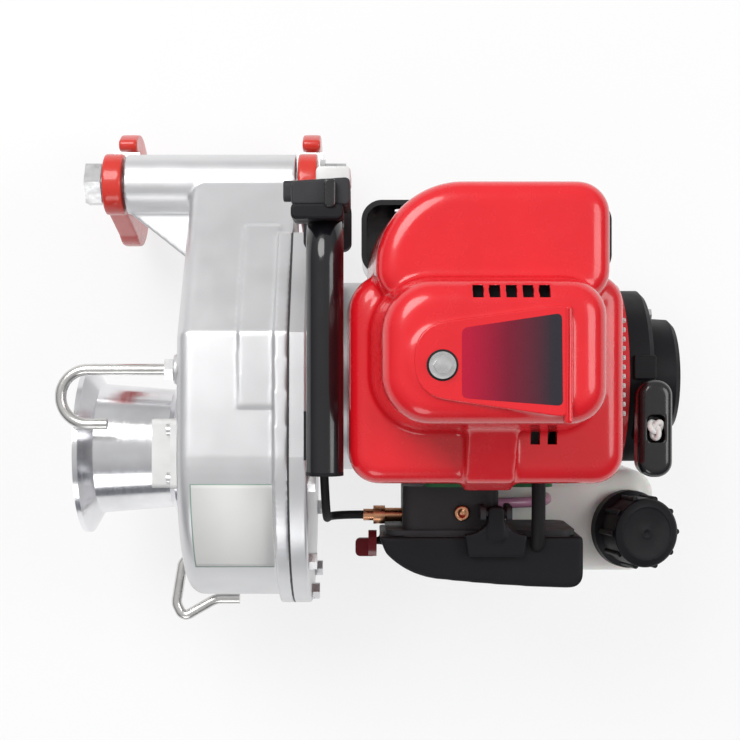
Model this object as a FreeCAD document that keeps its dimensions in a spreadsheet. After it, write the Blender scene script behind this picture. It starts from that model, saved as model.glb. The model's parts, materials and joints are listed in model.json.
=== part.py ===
"""Petrol capstan winch: a cast gear case with a capstan drum on one side and a small engine on the other.

The frame has +X along the shafts from the drum towards the engine, +Y towards the anchor hooks and
+Z up, with the origin on the floor under the drum axis, in the middle of the gear case's foot.
"""

import FreeCAD, Part

import math
import os
import re

import Sketcher

# Driving sizes in millimetres, degrees and counts
SIZES = {
    # Gear case
    "axis_height": 115,
    "crank_offset": 45,
    "case_depth": 64,
    "case_radius": 90,
    "case_wall": 6,
    "case_edge_round": 9,
    "shoulder_reach": 70,
    "shoulder_half": 86,
    "neck_lap": 1.5,
    "neck_half": 19,
    "gear_room": 11.2,
    "flange_lip": 5,
    "flange_thick": 8,
    "foot_half": 42,
    "foot_height": 40,
    "foot_inset": 4,
    "rim_pad_width": 20,
    "rim_pad_rise": 1.6,
    # Anchor bolt and its boss
    "hook_room": 1.5,
    "boss_radius": 18.5,
    "boss_outreach": 41,
    "anchor_radius": 8,
    "anchor_gap": 0.4,
    "gusset_thick": 10,
    "gusset_lap": 52.5,
    # Cover and clutch housing
    "cover_thick": 10,
    "gasket_thick": 0.8,
    "bell_house_radius": 58,
    "bell_house_wall": 8,
    "bell_house_length": 35.2,
    "cover_screw_radius": 3,
    "cover_screw_head": 5.2,
    # Gear train
    "drum_module": 2,
    "drum_teeth": 58,
    "drum_pinion_teeth": 13,
    "second_module": 1.25,
    "second_teeth": 56,
    "second_pinion_teeth": 14,
    "first_module": 1,
    "first_teeth": 60,
    "first_pinion_teeth": 14,
    "train_angle": 35,
    "drum_gear_face": 16,
    "second_gear_face": 9,
    "first_gear_face": 7,
    "gear_side_gap": 3,
    "pinion_extra": 1,
    "gear_backlash": 0.5,
    "drum_shaft_radius": 12.5,
    "lay_shaft_radius": 6,
    "input_shaft_radius": 7.5,
    "drum_bearing_radius": 23.5,
    "lay_bearing_radius": 14,
    "input_bearing_radius": 17.5,
    "bearing_width": 9,
    "bearing_boss_wall": 4,
    "running_gap": 0.05,
    "seat_gap": 0.02,
    # Capstan drum
    "drum_gap": 3,
    "drum_length": 59.5,
    "drum_inner_radius": 36.5,
    "drum_outer_radius": 40,
    "drum_flare_radius": 52,
    "drum_flare_length": 7,
    "drum_rim": 3,
    "drum_heel_radius": 43,
    "drum_dish_radius": 31,
    "drum_dish_depth": 18,
    # Rope guides and deflector
    "guide_rod_radius": 3.3,
    "guide_boss_radius": 9,
    "guide_boss_height": 4,
    "upper_guide_y": 49,
    "upper_guide_rise": 61,
    "upper_guide_reach": 54,
    "upper_guide_bend": 16,
    "upper_guide_return": 11,
    "lower_guide_y": -72,
    "lower_guide_drop": 19,
    "lower_guide_bend": 5,
    "lower_guide_out": 9,
    "lower_guide_front": 37,
    "lower_guide_tip": 27,
    "deflector_length": 40,
    "deflector_width": 12,
    "deflector_height": 15,
    "deflector_gap": 3,
    "deflector_plate": 5,
    # Hooks
    "hook_thick": 12,
    "hook_side_gap": 1.6,
    "hook_eye_radius": 19,
    "hook_bowl_radius": 37,
    "hook_bowl_drop": 64,
    "hook_throat_radius": 20,
    "hook_set_back": 4,
    "latch_thick": 2,
    "latch_gap": 0.4,
    "latch_pin_radius": 2.2,
    # Carrying handle and throttle
    "handle_radius": 10,
    "handle_wall": 2,
    "handle_rise": 135,
    "handle_standoff": 11.2,
    "handle_length": 134.5,
    "handle_bell_gap": 26.3,
    "handle_foot_drop": 3,
    "handle_bend": 24,
    "bracket_sink": 0.8,
    "clamp_height": 16,
    "clamp_rise": 71,
    "lever_swing_gap": 0.5,
    "cable_radius": 2.5,
    # Engine
    "crankcase_length": 108,
    "crankcase_half": 45,
    "crankcase_rise": 47,
    "crankcase_base": 12,
    "cylinder_setback": 56,
    "bore_radius": 21,
    "fin_half": 41,
    "fin_thick": 2.4,
    "fin_pitch": 8.5,
    "fin_count": 9,
    "fin_edge": 4,
    "head_height": 24,
    "rocker_height": 13,
    "crank_radius": 10,
    "crank_throw": 18,
    "crank_web_radius": 34,
    "crank_web_thick": 12,
    "crank_pin_length": 20,
    "flywheel_radius": 47,
    "flywheel_blades": 12,
    "fan_house_radius": 57,
    "fan_house_wall": 3,
    "fan_house_length": 44,
    "starter_disc_radius": 53,
    "starter_disc_length": 16,
    "starter_cup_radius": 36,
    "starter_cup_length": 19,
    "starter_wall": 3,
    "pulley_radius": 30,
    "pulley_width": 9,
    "grip_length": 56,
    "grip_width": 20,
    "grip_height": 18,
    "grip_gap": 3,
    "rope_radius": 2,
    # Shrouds, intake and fuel
    "shroud_wall": 3,
    "shroud_lift": 22,
    "shroud_headroom": 46.5,
    "skirt_headroom": 13.5,
    "shroud_handle_gap": 0.5,
    "shroud_reach": 81,
    "shroud_front_half": 59,
    "shroud_rear_half": 57,
    "hood_setback": -2,
    "hood_length": 130.5,
    "hood_depth": 49,
    "hood_drop": 8,
    "hood_height": 106,
    "guard_setback": -5,
    "guard_length": 146,
    "guard_inset": 3,
    "guard_height": 82,
    "cleaner_setback": 5,
    "cleaner_length": 118,
    "cleaner_depth": 30,
    "carburettor_depth": 30,
    "cleaner_height": 68,
    "cleaner_lift": 2,
    "tank_setback": 34,
    "tank_length": 145,
    "tank_depth": 64,
    "tank_fan_gap": 2,
    "tank_bottom": 5,
    "tank_gap": 6,
    "filler_inset": 24,
    "filler_forward": 4,
    "filler_tilt": 16,
    "neck_radius": 17,
    "neck_height": 12,
    "cap_base_radius": 24,
    "cap_top_radius": 21,
    "cap_height": 29,
    "cap_ribs": 10,
}

# Places that follow from the sizes
PLACES = {
    "split_x": "case_depth / 2",
    "case_back": "-case_depth / 2",
    "cover_inner": "split_x + gasket_thick",
    "cover_outer": "cover_inner + cover_thick",
    "cover_reach": "cavity_reach + case_wall",
    "anchor_reach": "cover_reach + hook_bowl_radius - hook_set_back + hook_room",
    "neck_reach": "anchor_reach - neck_lap",
    "engine_face": "cover_outer + bell_house_length",
    "upper_guide_z": "axis_height + upper_guide_rise",
    "lower_guide_z": "axis_height - lower_guide_drop",
    "handle_x": "cover_outer + handle_standoff",
    "handle_rear": "crank_offset + bell_house_radius + handle_bell_gap",
    "handle_front": "handle_rear - handle_length",
    "handle_height": "axis_height + handle_rise",
    "handle_foot_z": "axis_height - handle_foot_drop",
    "clamp_z": "axis_height + clamp_rise",
    "crankcase_top": "axis_height + crankcase_rise",
    "crankcase_end": "engine_face + crankcase_length",
    "cylinder_x": "engine_face + cylinder_setback",
    "fin_stack": "fin_pitch * fin_count + fin_edge",
    "head_top": "crankcase_top + fin_stack + head_height + rocker_height",
    "skirt_top": "crankcase_top + fin_stack + skirt_headroom",
    "shroud_bottom": "crankcase_top + shroud_lift",
    "shroud_top": "head_top + shroud_headroom",
    "shroud_left": "handle_x + handle_radius + shroud_handle_gap",
    "shroud_right": "cylinder_x + shroud_reach",
    "shroud_front": "crank_offset - shroud_front_half",
    "shroud_rear": "crank_offset + shroud_rear_half",
    "hood_left": "engine_face + hood_setback",
    "hood_right": "hood_left + hood_length",
    "hood_rear": "shroud_rear + hood_depth",
    "hood_bottom": "shroud_bottom - hood_drop",
    "hood_top": "hood_bottom + hood_height",
    "guard_left": "engine_face + guard_setback",
    "guard_right": "guard_left + guard_length",
    "guard_front": "crank_offset + fan_house_radius + 2",
    "guard_rear": "hood_rear - guard_inset",
    "guard_top": "hood_bottom - 2",
    "guard_bottom": "guard_top - guard_height",
    "gasket_y": "crank_offset - crankcase_half - 17",
    "cleaner_left": "engine_face + cleaner_setback",
    "cleaner_right": "cleaner_left + cleaner_length",
    "cleaner_back": "gasket_y - carburettor_depth",
    "cleaner_front": "cleaner_back - cleaner_depth",
    "cleaner_top": "shroud_bottom + cleaner_lift",
    "cleaner_bottom": "cleaner_top - cleaner_height",
    "tank_left": "engine_face + tank_setback",
    "tank_right": "tank_left + tank_length",
    "tank_back": "crank_offset - fan_house_radius - tank_fan_gap",
    "tank_front": "tank_back - tank_depth",
    "tank_top": "cleaner_bottom - tank_gap",
    "filler_x": "tank_right - filler_inset",
    "filler_y": "(tank_front + tank_back) / 2 - filler_forward",
}

Vector = FreeCAD.Vector
WORD = re.compile(r"[a-z_]\w*")
TILT_AXIS = Vector(0, 1, 0)

doc = FreeCAD.newDocument("CapstanWinch")
sheet = doc.addObject("Spreadsheet::Sheet", "dims")
for row, (alias, value) in enumerate(SIZES.items(), start=1):
    sheet.set(f"A{row}", alias)
    sheet.set(f"B{row}", str(value))
    sheet.setAlias(f"B{row}", alias)
doc.recompute()
sub_parts = []


def cells(expression):
    """The expression with every size name pointing at its cell, and every place worked out from the sizes."""

    def meaning(match):
        word = match.group()
        if word in PLACES:
            return f"({cells(PLACES[word])})"
        return f"dims.{word}" if word in SIZES else word

    return WORD.sub(meaning, str(expression))


def number(expression):
    """The expression's value in millimetres, degrees or counts."""
    return float(sheet.evalExpression(cells(expression)))


def bind(target, path, expression):
    target.setExpression(path, cells(expression))


def new_body(label, x="0", y="0", z="0", whole=True):
    """A body whose own origin lies at that point of the frame. A whole one is a sub-part by itself."""
    body = doc.addObject("PartDesign::Body", label)
    body.Label = label
    if whole:
        sub_parts.append(body)
    for axis, place in zip("xyz", (x, y, z)):
        bind(body, f"Placement.Base.{axis}", place)
    return body


def new_sketch(body, plane, lift="0"):
    """A sketch on one of the body's own planes, raised along the plane's normal."""
    sketch = body.newObject("Sketcher::SketchObject", body.Label + "_sketch")
    support = [f for f in body.Origin.OriginFeatures if f.Role == plane][0]
    sketch.AttachmentSupport = (support, "")
    sketch.MapMode = "FlatFace"
    bind(sketch, "AttachmentOffset.Base.z", lift)
    return sketch


def arc_between(start, end, radius):
    """A circular arc of under a half turn. A positive radius bulges to the right of the way travelled."""
    chord = end - start
    half = chord.Length / 2
    rise = math.sqrt(max(radius * radius - half * half, 0.0))
    left = Vector(-chord.y, chord.x, 0).normalize()
    centre = (start + end) * 0.5 + left * math.copysign(rise, radius)
    first, last = (start, end) if radius > 0 else (end, start)
    angles = [math.atan2(p.y - centre.y, p.x - centre.x) for p in (first, last)]
    circle = Part.Circle(centre, Vector(0, 0, 1), abs(radius))
    return Part.ArcOfCircle(circle, angles[0], angles[1])


def outline(sketch, points):
    """A closed outline. A point is (u, v), or (u, v, radius) where an arc leads to the next point."""
    corners = [Vector(number(p[0]), number(p[1]), 0) for p in points]
    ends = []
    for i, point in enumerate(points):
        start, end = corners[i], corners[(i + 1) % len(points)]
        if len(point) == 3:
            radius = number(point[2])
            edge = sketch.addGeometry(arc_between(start, end, radius))
            ends.append((edge, 1, 2) if radius > 0 else (edge, 2, 1))
            size = sketch.addConstraint(Sketcher.Constraint("Radius", edge, abs(radius)))
            bind(sketch, f"Constraints[{size}]", f"abs({point[2]})")
        else:
            ends.append((sketch.addGeometry(Part.LineSegment(start, end)), 1, 2))
    for i, point in enumerate(points):
        edge, start, end = ends[i]
        following = ends[(i + 1) % len(points)]
        sketch.addConstraint(Sketcher.Constraint("Coincident", edge, end, following[0], following[1]))
        for kind, expression, value in zip(("DistanceX", "DistanceY"), point, corners[i]):
            size = sketch.addConstraint(Sketcher.Constraint(kind, -1, 1, edge, start, value))
            bind(sketch, f"Constraints[{size}]", expression)
    return sketch


def rounded_box(sketch, left, right, low, high, radius):
    """A rectangle with round corners: one radius, or four from the right low corner by the right high one."""
    first, second, third, fourth = [radius] * 4 if isinstance(radius, str) else radius
    outline(
        sketch,
        [
            (f"{left} + {fourth}", low),
            (f"{right} - {first}", low, first),
            (right, f"{low} + {first}"),
            (right, f"{high} - {second}", second),
            (f"{right} - {second}", high),
            (f"{left} + {third}", high, third),
            (left, f"{high} - {third}"),
            (left, f"{low} + {fourth}", fourth),
        ],
    )
    return sketch


def ring(sketch, u, v, radius):
    """A whole circle."""
    circle = Part.Circle(Vector(number(u), number(v), 0), Vector(0, 0, 1), number(radius))
    edge = sketch.addGeometry(circle)
    for kind, expression in (("DistanceX", u), ("DistanceY", v)):
        size = sketch.addConstraint(Sketcher.Constraint(kind, -1, 1, edge, 3, number(expression)))
        bind(sketch, f"Constraints[{size}]", expression)
    size = sketch.addConstraint(Sketcher.Constraint("Radius", edge, number(radius)))
    bind(sketch, f"Constraints[{size}]", radius)
    return sketch


def pad(body, sketch, length, taper=0):
    """Material along the sketch's normal."""
    feature = body.newObject("PartDesign::Pad", body.Label + "_pad")
    feature.Profile = sketch
    bind(feature, "Length", length)
    feature.TaperAngle = taper
    doc.recompute()
    return feature


def pocket(body, sketch, length, along=True, taper=0):
    """A cut along the sketch's normal, or against it. The solid has to get smaller."""
    before = body.Shape.Volume
    feature = body.newObject("PartDesign::Pocket", body.Label + "_pocket")
    feature.Profile = sketch
    bind(feature, "Length", length)
    feature.Reversed = along
    feature.TaperAngle = taper
    doc.recompute()
    if body.Shape.Volume >= before:
        raise ValueError(f"{body.Label}: {sketch.Name} cuts nothing")
    return feature


def turn(body, sketch, axis="H_Axis"):
    """A solid of revolution about the sketch's own axis."""
    feature = body.newObject("PartDesign::Revolution", body.Label + "_turn")
    feature.Profile = sketch
    feature.ReferenceAxis = (sketch, [axis])
    feature.Angle = 360
    doc.recompute()
    return feature


def round_edges(body, radius, wanted):
    """Rounds the edges of the body's last feature that the test picks."""
    tip = body.Tip
    names = [f"Edge{n}" for n, edge in enumerate(tip.Shape.Edges, start=1) if wanted(edge)]
    feature = body.newObject("PartDesign::Fillet", body.Label + "_round")
    feature.Base = (tip, names)
    bind(feature, "Radius", radius)
    doc.recompute()
    return feature


def flat_at(axis, value):
    """A test for edges that lie in the plane where that coordinate has that value."""
    level = number(value)

    def test(edge):
        box = edge.BoundBox
        low, high = getattr(box, axis + "Min"), getattr(box, axis + "Max")
        return abs(low - level) < 1e-3 and abs(high - level) < 1e-3

    return test


def turned_part(label, y, z, profile, x="0"):
    """A piece turned about an axis along X. The profile's points are (x, radius)."""
    body = new_body(label, x, y, z)
    turn(body, outline(new_sketch(body, "XZ_Plane"), profile))
    return body


def set_shape(label, shape, place=None):
    """A sub-part made from a formula."""
    feature = doc.addObject("Part::Feature", label)
    feature.Label = label
    feature.Shape = shape
    if place is not None:
        feature.Placement = place
    sub_parts.append(feature)
    return feature


def group(label, members):
    """Identical pieces that share one sub-part, as separate solids."""
    feature = doc.addObject("Part::Compound", label)
    feature.Label = label
    feature.Links = members
    sub_parts.append(feature)
    doc.recompute()
    return feature


def cylinder(name, radius, length, x, y, z, axis=Vector(1, 0, 0)):
    """A plain round bar from a point along an axis."""
    bar = doc.addObject("Part::Cylinder", name)
    bind(bar, "Radius", radius)
    bind(bar, "Height", length)
    bar.Placement.Rotation = FreeCAD.Rotation(Vector(0, 0, 1), axis)
    for letter, place in zip("xyz", (x, y, z)):
        bind(bar, f"Placement.Base.{letter}", place)
    return bar


def hexagon(name, radius, length, x, y, z, axis=Vector(1, 0, 0)):
    """A six-sided head or nut. The radius is to its corners."""
    prism = doc.addObject("Part::Prism", name)
    prism.Polygon = 6
    bind(prism, "Circumradius", radius)
    bind(prism, "Height", length)
    prism.Placement.Rotation = FreeCAD.Rotation(Vector(0, 0, 1), axis)
    for letter, place in zip("xyz", (x, y, z)):
        bind(prism, f"Placement.Base.{letter}", place)
    return prism


def fuse(name, members):
    joined = doc.addObject("Part::MultiFuse", name)
    joined.Shapes = members
    joined.Refine = True
    return joined


def cut(name, base, tool):
    feature = doc.addObject("Part::Cut", name)
    feature.Base = base
    feature.Tool = tool
    return feature


def as_sub_part(feature, label):
    feature.Label = label
    sub_parts.append(feature)
    doc.recompute()
    return feature


def bent_path(points, bends):
    """Straight runs joined by tangent arcs: one bend radius for each inner point."""
    edges = []
    last = points[0]
    for before, corner, after, radius in zip(points, points[1:], points[2:], bends):
        back = (before - corner).normalize()
        ahead = (after - corner).normalize()
        half = back.getAngle(ahead) / 2
        reach = radius / math.tan(half)
        start, end = corner + back * reach, corner + ahead * reach
        middle_way = (back + ahead).normalize()
        middle = corner + middle_way * (radius / math.sin(half) - radius)
        if (start - last).Length > 1e-6:
            edges.append(Part.LineSegment(last, start).toShape())
        edges.append(Part.Arc(start, middle, end).toShape())
        last = end
    edges.append(Part.LineSegment(last, points[-1]).toShape())
    return Part.Wire(edges)


def bent_rod(points, bends, radius, bore=0.0):
    """A round bar or tube along a bent path."""
    path = bent_path(points, bends)
    way = (points[1] - points[0]).normalize()

    def swept(r):
        section = Part.Wire([Part.Circle(points[0], way, r).toShape()])
        return path.makePipeShell([section], True, False)

    rod = swept(radius)
    return rod.cut(swept(bore)) if bore else rod


def involute_half_angle(radius, pitch_radius, pitch_half):
    """Half the angle that a tooth takes up at a radius, for a 20 degree involute."""
    pressure = math.radians(20)
    base = pitch_radius * math.cos(pressure)
    local = math.acos(min(1.0, base / max(radius, base)))
    return pitch_half + (math.tan(pressure) - pressure) - (math.tan(local) - local)


def spur_gear(module, teeth, face, bore, addendum, aim):
    """A spur gear about X from x = 0. One tooth points along the angle aim in the YZ plane."""
    pitch = module * teeth / 2
    tip, root = pitch + addendum * module, pitch - 1.25 * module
    pitch_half = math.pi / (2 * teeth) - number("gear_backlash") / (4 * pitch)
    steps = 3 if teeth < 20 else 2
    flank = [root + (tip - root) * i / steps for i in range(steps + 1)]
    corners = []
    for tooth in range(teeth):
        centre = aim + 2 * math.pi * tooth / teeth
        sides = [(r, centre - involute_half_angle(r, pitch, pitch_half)) for r in flank]
        sides += [(r, centre + involute_half_angle(r, pitch, pitch_half)) for r in reversed(flank)]
        corners += [Vector(0, r * math.cos(a), r * math.sin(a)) for r, a in sides]
    blank = Part.Face(Part.makePolygon(corners + corners[:1]))
    gear = blank.extrude(Vector(face, 0, 0))
    if bore:
        gear = gear.cut(Part.makeCylinder(bore, face, Vector(0, 0, 0), Vector(1, 0, 0)))
    return gear


# Shaft centres worked out from the gear sizes
drum_distance = number("drum_module * (drum_teeth + drum_pinion_teeth) / 2")
second_distance = number("second_module * (second_teeth + second_pinion_teeth) / 2")
first_distance = number("first_module * (first_teeth + first_pinion_teeth) / 2")
axis_height = number("axis_height")
train = math.radians(number("train_angle"))
drum_centre = Vector(0, 0, axis_height)
crank_centre = Vector(0, number("crank_offset"), axis_height)
second_centre = drum_centre + Vector(0, math.cos(train), math.sin(train)) * drum_distance
span = second_centre - crank_centre
along = (first_distance**2 - second_distance**2 + span.Length**2) / (2 * span.Length)
aside = math.sqrt(first_distance**2 - along**2)
span.normalize()
first_centre = crank_centre + span * along + Vector(0, span.z, -span.y) * aside
gear_end = max(
    first_centre.y + number("first_module * (first_teeth / 2 + 1)"),
    second_centre.y + number("second_module * (second_teeth / 2 + 1)"),
)
PLACES["cavity_reach"] = f"{gear_end:.3f} + gear_room"


def facing(start, end):
    """The angle in the YZ plane from one shaft to another."""
    return math.atan2(end.z - start.z, end.y - start.y)


# Where each gear layer starts along X, from the drum side to the engine side
drum_layer = "case_back + case_wall + bearing_width + 1.5"
second_layer = f"{drum_layer} + drum_gear_face + gear_side_gap"
first_layer = f"{second_layer} + second_gear_face + gear_side_gap"
bearing_seat = "case_back + case_wall / 2"


def case_outline(sketch, grow, end, end_half):
    """The gear case seen along its shafts: round at the front, with shoulders that fall to the neck."""
    top, low = f"axis_height + case_radius + {grow}", f"axis_height - case_radius - ({grow})"
    arc = f"case_radius + {grow}"
    return outline(
        sketch,
        [
            (f"-case_radius - ({grow})", "axis_height", arc),
            ("0", low),
            ("shoulder_reach", f"axis_height - shoulder_half - ({grow})"),
            (end, f"axis_height - ({end_half})"),
            (end, f"axis_height + ({end_half})"),
            ("shoulder_reach", f"axis_height + shoulder_half + {grow}"),
            ("0", top, arc),
        ],
    )


neck_slope = "(shoulder_half - neck_half) / (neck_reach - shoulder_reach)"
cavity_half = f"shoulder_half - {neck_slope} * (cavity_reach - shoulder_reach) - 1.5 * case_wall"
cover_half = f"shoulder_half - {neck_slope} * (cavity_reach + case_wall - shoulder_reach) + flange_lip"


def screw_places():
    """Screw centres round the cover's edge, as (y, z)."""
    inset = number("case_radius - 0.5 * case_wall + 1.0")
    places = []
    for degrees in (100, 135, 170, 205, 240, 270):
        turn_angle = math.radians(degrees)
        places.append((inset * math.cos(turn_angle), axis_height + inset * math.sin(turn_angle)))
    run = number("cavity_reach")
    half = number("shoulder_half") - 2
    fall = number(neck_slope)
    for y in (0.5 * number("shoulder_reach"), number("shoulder_reach"), 0.9 * run):
        drop = max(0.0, y - number("shoulder_reach")) * fall
        places.append((y, axis_height + half - drop))
        places.append((y, axis_height - half + drop))
    return places


screws = screw_places()

# Gear case
housing = new_body("gear_housing")
pad(
    housing,
    case_outline(new_sketch(housing, "YZ_Plane", "case_back"), "0", "neck_reach", "neck_half"),
    "case_depth",
)
round_edges(housing, "case_edge_round", flat_at("X", "case_back"))
flange_sketch = new_sketch(housing, "YZ_Plane", "split_x - flange_thick")
pad(housing, case_outline(flange_sketch, "flange_lip", "cover_reach", cover_half), "flange_thick")
pad(
    housing,
    ring(
        new_sketch(housing, "YZ_Plane", "case_back - boss_outreach"),
        "anchor_reach",
        "axis_height",
        "boss_radius",
    ),
    "case_depth + boss_outreach",
)
pad(
    housing,
    outline(
        new_sketch(housing, "XY_Plane", "axis_height - gusset_thick / 2"),
        [
            ("case_back + 4", "anchor_reach - gusset_lap"),
            ("case_back + 4", "anchor_reach"),
            ("case_back - boss_outreach", "anchor_reach"),
            ("case_back - boss_outreach", "anchor_reach - boss_radius + 1.5"),
        ],
    ),
    "gusset_thick",
)
pad(
    housing,
    rounded_box(
        new_sketch(housing, "XY_Plane"), "case_back + foot_inset", "split_x", "-foot_half", "foot_half", "8"
    ),
    "foot_height",
)
pad(
    housing,
    rounded_box(
        new_sketch(housing, "XY_Plane"),
        "case_back + 2 * foot_inset",
        "split_x - foot_inset",
        "-foot_half / 2",
        "foot_half / 2",
        "foot_inset",
    ),
    "axis_height - case_radius + case_wall",
)
pad(
    housing,
    outline(
        new_sketch(housing, "YZ_Plane", "split_x - flange_thick - rim_pad_width"),
        [
            ("0.4 * shoulder_reach", "axis_height + shoulder_half - 4"),
            ("shoulder_reach + 0.7 * (neck_reach - shoulder_reach)", "axis_height + neck_half"),
            ("shoulder_reach + 0.7 * (neck_reach - shoulder_reach)",
             "axis_height + 0.3 * shoulder_half + 0.7 * neck_half + rim_pad_rise"),
            ("shoulder_reach", "axis_height + shoulder_half + rim_pad_rise"),
            ("0.4 * shoulder_reach", "axis_height + shoulder_half + 2 * rim_pad_rise"),
        ],
    ),
    "rim_pad_width",
)
guide_places = (("upper_guide_y", "upper_guide_z"), ("lower_guide_y", "lower_guide_z"))
for place in guide_places:
    boss_sketch = new_sketch(housing, "YZ_Plane", "case_back - guide_boss_height")
    pad(housing, ring(boss_sketch, *place, "guide_boss_radius"), "guide_boss_height + case_wall / 2")
pocket(
    housing,
    case_outline(new_sketch(housing, "YZ_Plane", "split_x"), "-case_wall", "cavity_reach", cavity_half),
    "case_depth - case_wall",
    along=False,
)
seat_shafts = (
    (drum_centre, "drum_bearing_radius"),
    (second_centre, "lay_bearing_radius"),
    (first_centre, "lay_bearing_radius"),
)
for centre, bearing in seat_shafts:
    seat_sketch = new_sketch(housing, "YZ_Plane", "case_back + case_wall - 1")
    pad(
        housing,
        ring(seat_sketch, centre.y, centre.z, f"{bearing} + bearing_boss_wall"),
        "bearing_width - case_wall / 2 + 1",
    )
for centre, bearing in seat_shafts:
    pocket(
        housing,
        ring(new_sketch(housing, "YZ_Plane", bearing_seat), centre.y, centre.z, f"{bearing} + seat_gap"),
        "bearing_width",
    )
pocket(
    housing,
    ring(new_sketch(housing, "YZ_Plane", "case_back"), "0", "axis_height", "drum_shaft_radius + 1"),
    "case_wall",
)
pocket(
    housing,
    ring(
        new_sketch(housing, "YZ_Plane", "case_back - boss_outreach"),
        "anchor_reach",
        "axis_height",
        "anchor_radius + anchor_gap",
    ),
    "case_depth + boss_outreach",
)
for place in guide_places:
    hole_sketch = new_sketch(housing, "YZ_Plane", "case_back - guide_boss_height")
    rod_hole = ring(hole_sketch, *place, "guide_rod_radius + seat_gap")
    pocket(housing, rod_hole, "guide_boss_height + case_wall / 2")
thread_sketch = new_sketch(housing, "YZ_Plane", "split_x")
for y, z in screws:
    ring(thread_sketch, y, z, "cover_screw_radius + seat_gap")
pocket(housing, thread_sketch, "flange_thick - 2", along=False)

# Cover with the clutch housing, and the gasket under it
cover = new_body("housing_cover")
pad(
    cover,
    case_outline(new_sketch(cover, "YZ_Plane", "cover_inner"), "flange_lip", "cover_reach", cover_half),
    "cover_thick",
)
pad(
    cover,
    ring(
        new_sketch(cover, "YZ_Plane", "cover_outer - 1"),
        "crank_offset",
        "axis_height",
        "bell_house_radius",
    ),
    "engine_face - cover_outer + 1",
)
round_edges(cover, "2", flat_at("X", "cover_outer"))
pocket(
    cover,
    ring(
        new_sketch(cover, "YZ_Plane", "cover_outer"),
        "crank_offset",
        "axis_height",
        "bell_house_radius - bell_house_wall",
    ),
    "engine_face - cover_outer + 1",
)
pad(
    cover,
    ring(
        new_sketch(cover, "YZ_Plane", "cover_outer - 1"),
        "crank_offset",
        "axis_height",
        "input_bearing_radius + bearing_boss_wall",
    ),
    "bearing_width / 2 + 1",
)
pocket(
    cover,
    ring(
        new_sketch(cover, "YZ_Plane", "cover_inner"),
        "crank_offset",
        "axis_height",
        "input_bearing_radius + seat_gap",
    ),
    "cover_thick + bearing_width",
)
for centre, bearing in seat_shafts:
    pocket(
        cover,
        ring(new_sketch(cover, "YZ_Plane", "cover_inner"), centre.y, centre.z, f"{bearing} + seat_gap"),
        "bearing_width",
    )
clear_sketch = new_sketch(cover, "YZ_Plane", "cover_inner")
for y, z in screws:
    ring(clear_sketch, y, z, "cover_screw_radius + seat_gap")
pocket(cover, clear_sketch, "cover_thick")

gasket = new_body("cover_gasket")
pad(
    gasket,
    case_outline(new_sketch(gasket, "YZ_Plane", "split_x"), "flange_lip", "cover_reach", cover_half),
    "gasket_thick",
)
pocket(
    gasket,
    case_outline(new_sketch(gasket, "YZ_Plane", "split_x"), "-case_wall", "cavity_reach", cavity_half),
    "gasket_thick",
)
gasket_holes = new_sketch(gasket, "YZ_Plane", "split_x")
for y, z in screws:
    ring(gasket_holes, y, z, "cover_screw_radius + seat_gap")
pocket(gasket, gasket_holes, "gasket_thick")

screw_solids = []
for index, (y, z) in enumerate(screws):
    shank = cylinder(
        f"cover_shank_{index}",
        "cover_screw_radius",
        "cover_thick + gasket_thick + flange_thick - 4 + 1",
        "split_x - flange_thick + 4",
        y,
        z,
    )
    head = hexagon(f"cover_head_{index}", "cover_screw_head", "4.5", "cover_outer", y, z)
    screw_solids.append(fuse(f"cover_screw_{index}", [shank, head]))
group("cover_screws", screw_solids)


# Gears and shafts
def bar(radius, start, end):
    """A round bar about X between two places."""
    return Part.makeCylinder(radius, end - start, Vector(start, 0, 0), Vector(1, 0, 0))


def key_box(radius, start, end, gap=0.0):
    """A key that stands out of a shaft along +Z."""
    width, rise = 0.5 * radius + 2 * gap, 0.22 * radius + gap
    return Part.makeBox(end - start, width, radius + rise, Vector(start, -width / 2, 0))


shaft_end = number("cover_inner + bearing_width") - 0.4
shaft_start = number(bearing_seat) + 0.4
layers = [number(layer) for layer in (drum_layer, second_layer, first_layer)]
faces = [number(face) for face in ("drum_gear_face", "second_gear_face", "first_gear_face")]
extra = number("pinion_extra")
seat_gap = number("seat_gap")
drum_shaft_radius = number("drum_shaft_radius")
lay_radius = number("lay_shaft_radius")
lay_seat = lay_radius + 1
inner_start = number(f"{bearing_seat} + bearing_width") + 0.3
inner_end = number("cover_inner") - 0.3
drum_end = number("case_back - drum_gap - drum_length - drum_rim + drum_dish_depth")
drum_start = number("case_back - drum_gap")


def keyed_gear(label, module, teeth, layer, bore, aim, centre):
    """A gear that sits on its shaft with a key."""
    start, face = layers[layer], faces[layer]
    gear = spur_gear(number(module), int(number(teeth)), face, bore + seat_gap, 0.75, aim)
    gear = gear.cut(key_box(bore, 0, face, 0.05))
    return set_shape(label, gear, FreeCAD.Placement(Vector(start, 0, 0) + centre, FreeCAD.Rotation()))


def pinion_shaft(label, module, teeth, layer, gear_layer, aim, centre):
    """A layshaft with its pinion cut in one piece and a key for its gear."""
    pinion_face = faces[layer] + 2 * extra
    pinion = spur_gear(number(module), int(number(teeth)), pinion_face, 0, 1.0, aim)
    pinion.translate(Vector(layers[layer] - extra, 0, 0))
    gear_end = layers[gear_layer] + faces[gear_layer]
    shaft = bar(lay_radius, shaft_start, shaft_end).fuse(bar(lay_seat, inner_start, inner_end))
    shaft = shaft.fuse([pinion, key_box(lay_seat, layers[gear_layer], gear_end)])
    return set_shape(label, shaft.removeSplitter(), FreeCAD.Placement(centre, FreeCAD.Rotation()))


def gap_aim(teeth, angle):
    """The angle of a tooth next to a gap that points along the given angle."""
    return angle + math.pi / int(number(teeth))


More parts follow.
